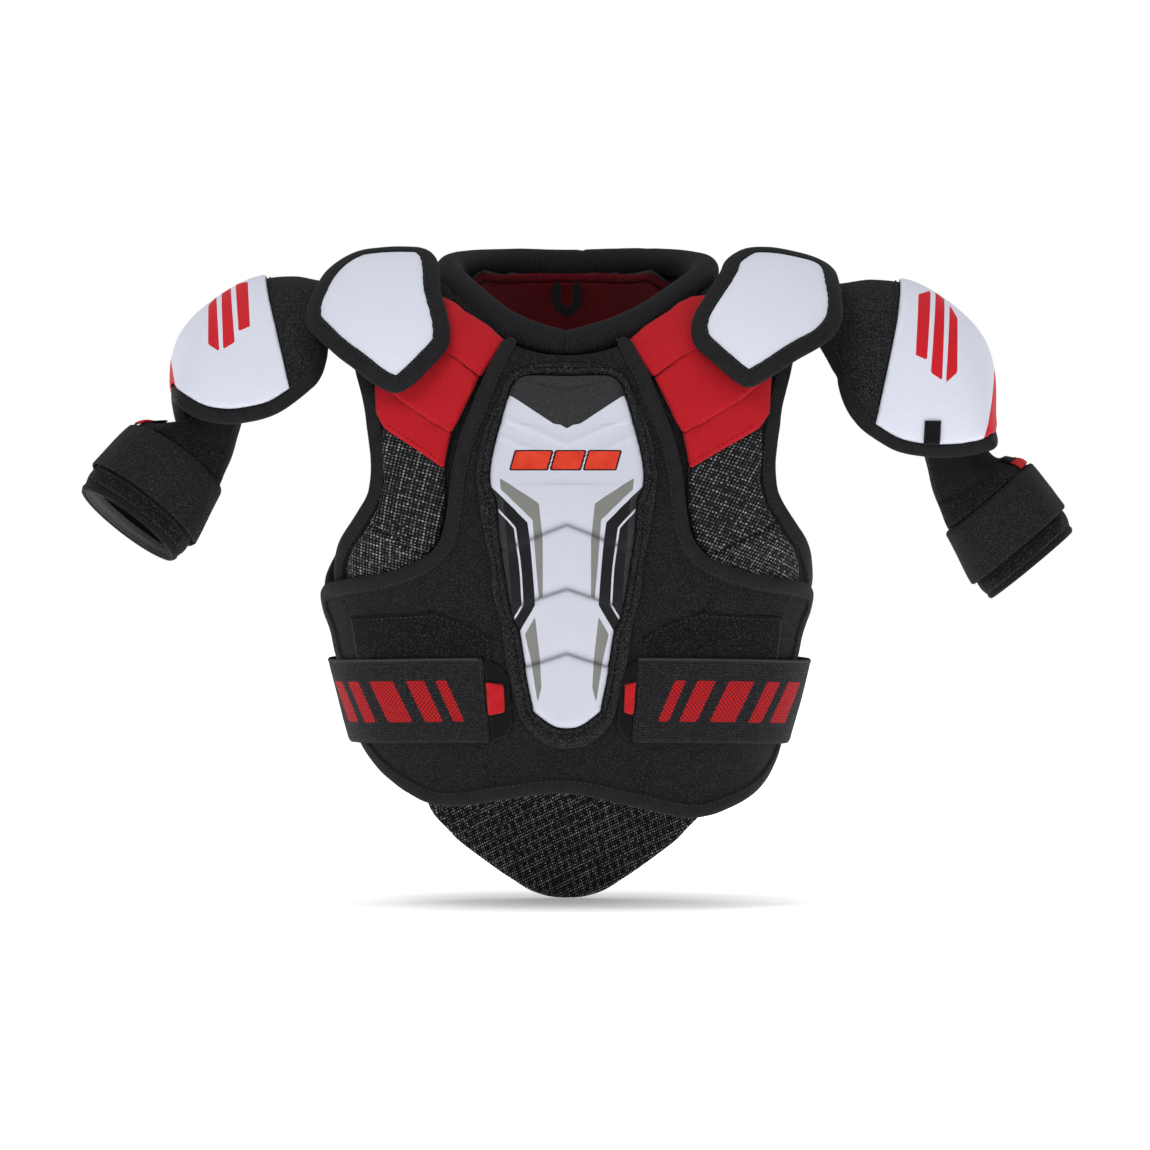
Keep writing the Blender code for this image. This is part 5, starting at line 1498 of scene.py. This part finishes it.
def make_shoulder_web(side, word):
    """Stretch fabric that hangs the arm: one sheet to the web's pivot, one from there to the arm."""
    arm = arm_cap_form(side)
    near = [(side * WEB_START, y, WEB_HEIGHT) for y in np.linspace(-WEB_REACH, WEB_REACH, WEB_COLUMNS)]
    turn = np.linspace(-WEB_WRAP, WEB_WRAP, WEB_COLUMNS) * float(arm_edge(0))
    far = arm.at(columns_of(np.full(WEB_COLUMNS, 2 * MM), -turn), ARM_FACE - 5 * MM)
    pivot = arm_world(side, np.array([(side * WEB_PIVOT[0], 0, WEB_PIVOT[1])]))[0]
    share = np.linspace(0, 1, WEB_ROWS)[:, None, None]
    bow = np.sin(math.pi * share) * np.array((0, 0, 1.5 * MM))
    rows = np.array(near)[None] * (1 - share) + far[None] * share + bow
    split = int(np.argmin(np.abs(rows[:, WEB_COLUMNS // 2, 0] - pivot[0])))
    for place, part, bodies in (("inner", rows[:split + 2], ("torso", f"{word}_tether")),
                                ("outer", rows[split - 1:], (f"{word}_tether", f"{word}_arm"))):
        piece = add_slab(f"{word}_shoulder_web_{place}", part, WEB_THICK, "neoprene_speckled", side)
        if place == "inner":
            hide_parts(f"{word}_arm_tether")
        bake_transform(piece)


def make_wrap(side, word):
    """The sleeve above the elbow, squeezed under its strap."""
    form = wrap_form(side)
    body = f"{word}_wrap"
    outs = np.arange(-10, 127, 2.5) * MM
    columns = 108
    around = 2 * math.pi * WRAP_ARC * np.arange(columns) / columns
    spots = np.stack(np.meshgrid(outs, around, indexing="ij"), axis=-1).reshape(-1, 2)
    out = spots[:, 0] / MM
    squeeze = np.clip((out - 56) / 5, 0, 1) * np.clip((110 - out) / 5, 0, 1)
    waves = ripple(spots * (1, 1.3), 34 * MM, 41) * (0.9 * MM) * (1 - squeeze)
    lip = 0.9 * MM * np.exp(-((out - 121) / 2.6) ** 2) - 0.8 * MM * np.exp(-((out - 116.5) / 1.6) ** 2)
    rise = waves * np.clip((120 - out) / 20, 0.2, 1) + lip + 0.3 * MM
    outer = form.at(spots, rise - 0.6 * MM * squeeze)
    inner = form.at(spots, rise - WRAP_THICK)
    rows = len(outs)
    row, k = np.arange(rows - 1)[:, None], np.arange(columns)
    here, beside = row * columns + k, row * columns + (k + 1) % columns
    quads = columns_of(here, here + columns, beside + columns, beside).reshape(-1, 4)[:, ::-side]
    total = rows * columns
    after = (k + 1) % columns
    first = columns_of(k, after, total + after, total + k)[:, ::-side]
    last = columns_of(k, total + k, total + after, after)[:, ::-side] + total - columns
    faces = np.concatenate([quads, quads[:, ::-1] + total, first, last])
    # The last rows inside the sleeve's end take the satin lining, whose light grey is partly painted sheen.
    shiny = np.where(np.repeat(np.arange(rows - 1), columns) > rows - 7, 2, 1)
    cover, lining = np.zeros(len(quads), int), np.ones(columns, int)
    choice = np.concatenate([cover, shiny, lining, np.zeros(columns, int)])
    grain = np.column_stack([np.concatenate([spots, spots]), np.zeros(2 * total)])
    piece = add_mesh(f"{word}_bicep_sleeve", np.concatenate([outer, inner]), faces,
                     ["neoprene", "lining_black", "satin_grey_painted_sheen"], {"grain": grain}, choice)
    keep(piece, body, "black_knit", [f"{word}_bicep_wrap"], 0.4)
    seam = np.array([(4 * MM, 152), (50 * MM, 152)]) * (1, math.radians(1) * WRAP_ARC)
    add_stitches(body, "black_knit", f"{word}_sleeve_stitches", [run_on(form, seam, 0.8 * MM)])
    make_wrap_bands(word, form, body)


def make_wrap_bands(word, form, body):
    """Bands on the sleeve: where each runs, out in millimetres and around in degrees, its face, its
    thickness, its finish, its step, its rounded edge, its body, its slot and the nodes it stands for."""
    first, last = BICEP_STRAP
    strap = f"{word}_bicep_strap"

    def elastic(spots, edge):
        return {"selvage": 0.9 * MM - np.abs(spots[:, 0] - first * MM - 0.8 * MM)}

    woven = {"height": relief(0, 1, wave=(0.5, 38, 19)), "fields": elastic}
    bands = (
        ("bicep_elastic", (first, last, 0.7, 183), 3.6, 2.4, "elastic_black", 2.2, 1.0,
         strap, "black_elastic", [strap], woven),
        ("bicep_elastic_back", (first, last, 186, 359.3), 3.6, 2.4, "elastic_black", 2.6, 1.0,
         body, "black_elastic", [f"{strap}_anchor"], woven),
        ("sleeve_pile", (44, 58.6, 60, 165), 1.9, 1.6, "velvet_black", 2.2, 0.8,
         body, "black_elastic", (), {}),
        ("sleeve_pile_lower", (107.4, 116, 30, 160), 1.9, 1.6, "velvet_black", 2.2, 0.8,
         body, "black_elastic", (), {}),
        ("adjuster_tab", (30, 48, 6, 34), 3.2, 2.0, "webbing_black", 1.6, 0.9,
         body, "black_elastic", (), {}),
        ("adjuster_ribbon", (46, 58.5, 10, 36), 3.0, 1.8, "ribbon_red", 1.4, 0.8,
         body, "red_twill", [f"{word}_wrap_adjuster"], {}))
    for name, run, face, thick, finish, step, rounded, rides, slot, stands_for, more in bands:
        near, far, low, high = run
        corners = np.array([(near, low), (far, low), (far, high), (near, high)])
        outline = straight(corners * (MM, math.radians(1) * WRAP_ARC), 4.2 * MM)
        add_pad(rides, slot, stands_for, None, f"{word}_{name}", outline, form, face * MM, thick * MM,
                [finish], step=step * MM, round_edge=rounded * MM, **more)


# ---- studio ----

def make_camera():
    data = bpy.data.cameras.new("view")
    data.lens = data.sensor_width * CAMERA_DISTANCE / VIEW_WIDTH
    data.clip_end = 100
    camera = add_object("view", data)
    lift = math.radians(VIEW_LIFT)
    camera.location = VIEW_MIDDLE + Vector((0, -math.cos(lift), math.sin(lift))) * CAMERA_DISTANCE
    camera.rotation_euler = (math.radians(90) - lift, 0, 0)
    bpy.context.scene.camera = camera


def add_light(name, place, size, power):
    data = bpy.data.lights.new(name, "AREA")
    data.shape, data.size, data.size_y, data.energy = "RECTANGLE", *size, power
    light = add_object(name, data)
    light.location = place
    light.rotation_euler = (LIGHT_TARGET - Vector(place)).to_track_quat("-Z", "Y").to_euler()


def make_studio():
    floor_height = cad_box[0].z - 0.5 * MM
    mesh = bpy.data.meshes.new("floor")
    ends = (-FLOOR_REACH, FLOOR_REACH)
    corners = [(x, y, floor_height) for x, y in zip(ends + ends[::-1], np.repeat(ends, 2).tolist())]
    mesh.from_pydata(corners, [], [(0, 1, 2, 3)])
    paint = bpy.data.materials.new("floor_paint")
    paint.use_nodes = True
    shader = paint.node_tree.nodes["Principled BSDF"]
    for key, value in (("Base Color", (0.9, 0.9, 0.9, 1)), ("Roughness", 1), ("Specular IOR Level", 0),
                       ("Emission Color", (1, 1, 1, 1))):
        shader.inputs[key].default_value = value
    nodes, links = paint.node_tree.nodes, paint.node_tree.links
    kinds = ("NewGeometry", "VectorMath", "MapRange")
    place, span, glow = (nodes.new(f"ShaderNode{kind}") for kind in kinds)
    span.operation = "DISTANCE"
    span.inputs[1].default_value = (0, 0.09, floor_height)
    glow.interpolation_type = "SMOOTHSTEP"
    for key, value in (("From Min", 0.02), ("From Max", 0.42), ("To Min", FLOOR_GLOW), ("To Max", 1.1)):
        glow.inputs[key].default_value = value
    links.new(place.outputs["Position"], span.inputs[0])
    links.new(span.outputs["Value"], glow.inputs["Value"])
    links.new(glow.outputs[0], shader.inputs["Emission Strength"])
    mesh.materials.append(paint)
    floor = add_object("floor", mesh)
    for light in LIGHTS:
        add_light(*light)
    make_world()


def make_world():
    """Plain white behind the object, and a dimmer light from all round on it."""
    world = bpy.data.worlds.new("studio")
    world.use_nodes = True
    bpy.context.scene.world = world
    tree = world.node_tree
    tree.nodes.clear()
    output = tree.nodes.new("ShaderNodeOutputWorld")
    seen, cast = tree.nodes.new("ShaderNodeBackground"), tree.nodes.new("ShaderNodeBackground")
    seen.inputs["Color"].default_value = (1, 1, 1, 1)
    seen.inputs["Strength"].default_value = 1
    cast.inputs["Color"].default_value = (0.9, 0.93, 1, 1)
    cast.inputs["Strength"].default_value = 0.28
    path, mix = tree.nodes.new("ShaderNodeLightPath"), tree.nodes.new("ShaderNodeMixShader")
    tree.links.new(path.outputs["Is Camera Ray"], mix.inputs[0])
    tree.links.new(cast.outputs[0], mix.inputs[1])
    tree.links.new(seen.outputs[0], mix.inputs[2])
    tree.links.new(mix.outputs[0], output.inputs[0])
    bpy.context.scene.view_settings.view_transform = "Standard"


# ---- all together ----

make_camera()
make_studio()
make_materials()
dark_runs = make_chest()
ink_runs = make_sternum()
dark_runs += make_back()
dark_runs += make_spine()
make_tail()
make_collar()
make_hang_loop()
red_runs = []
for one_side, side_word in SIDES:
    dark_runs += make_yoke(one_side, side_word)
    red_runs += make_skins(one_side, side_word)
    dark_runs += make_loop_patch(one_side, side_word)
    make_bridge(one_side, side_word)
    dark_runs += make_scapula(one_side, side_word)
    dark_runs += make_waist_strap(one_side, side_word)
    make_shoulder_cap(one_side, side_word)
    make_cap_hinge(one_side, side_word)
    make_shoulder_web(one_side, side_word)
    make_arm_cap(one_side, side_word)
    make_wrap(one_side, side_word)
add_stitches("torso", "binding", "torso_stitches_dark", dark_runs)
add_stitches("torso", "binding", "torso_stitches_ink", ink_runs, "thread_ink", 0.6 * MM)
add_stitches("torso", "red_twill", "torso_stitches_red", red_runs, "thread_red")
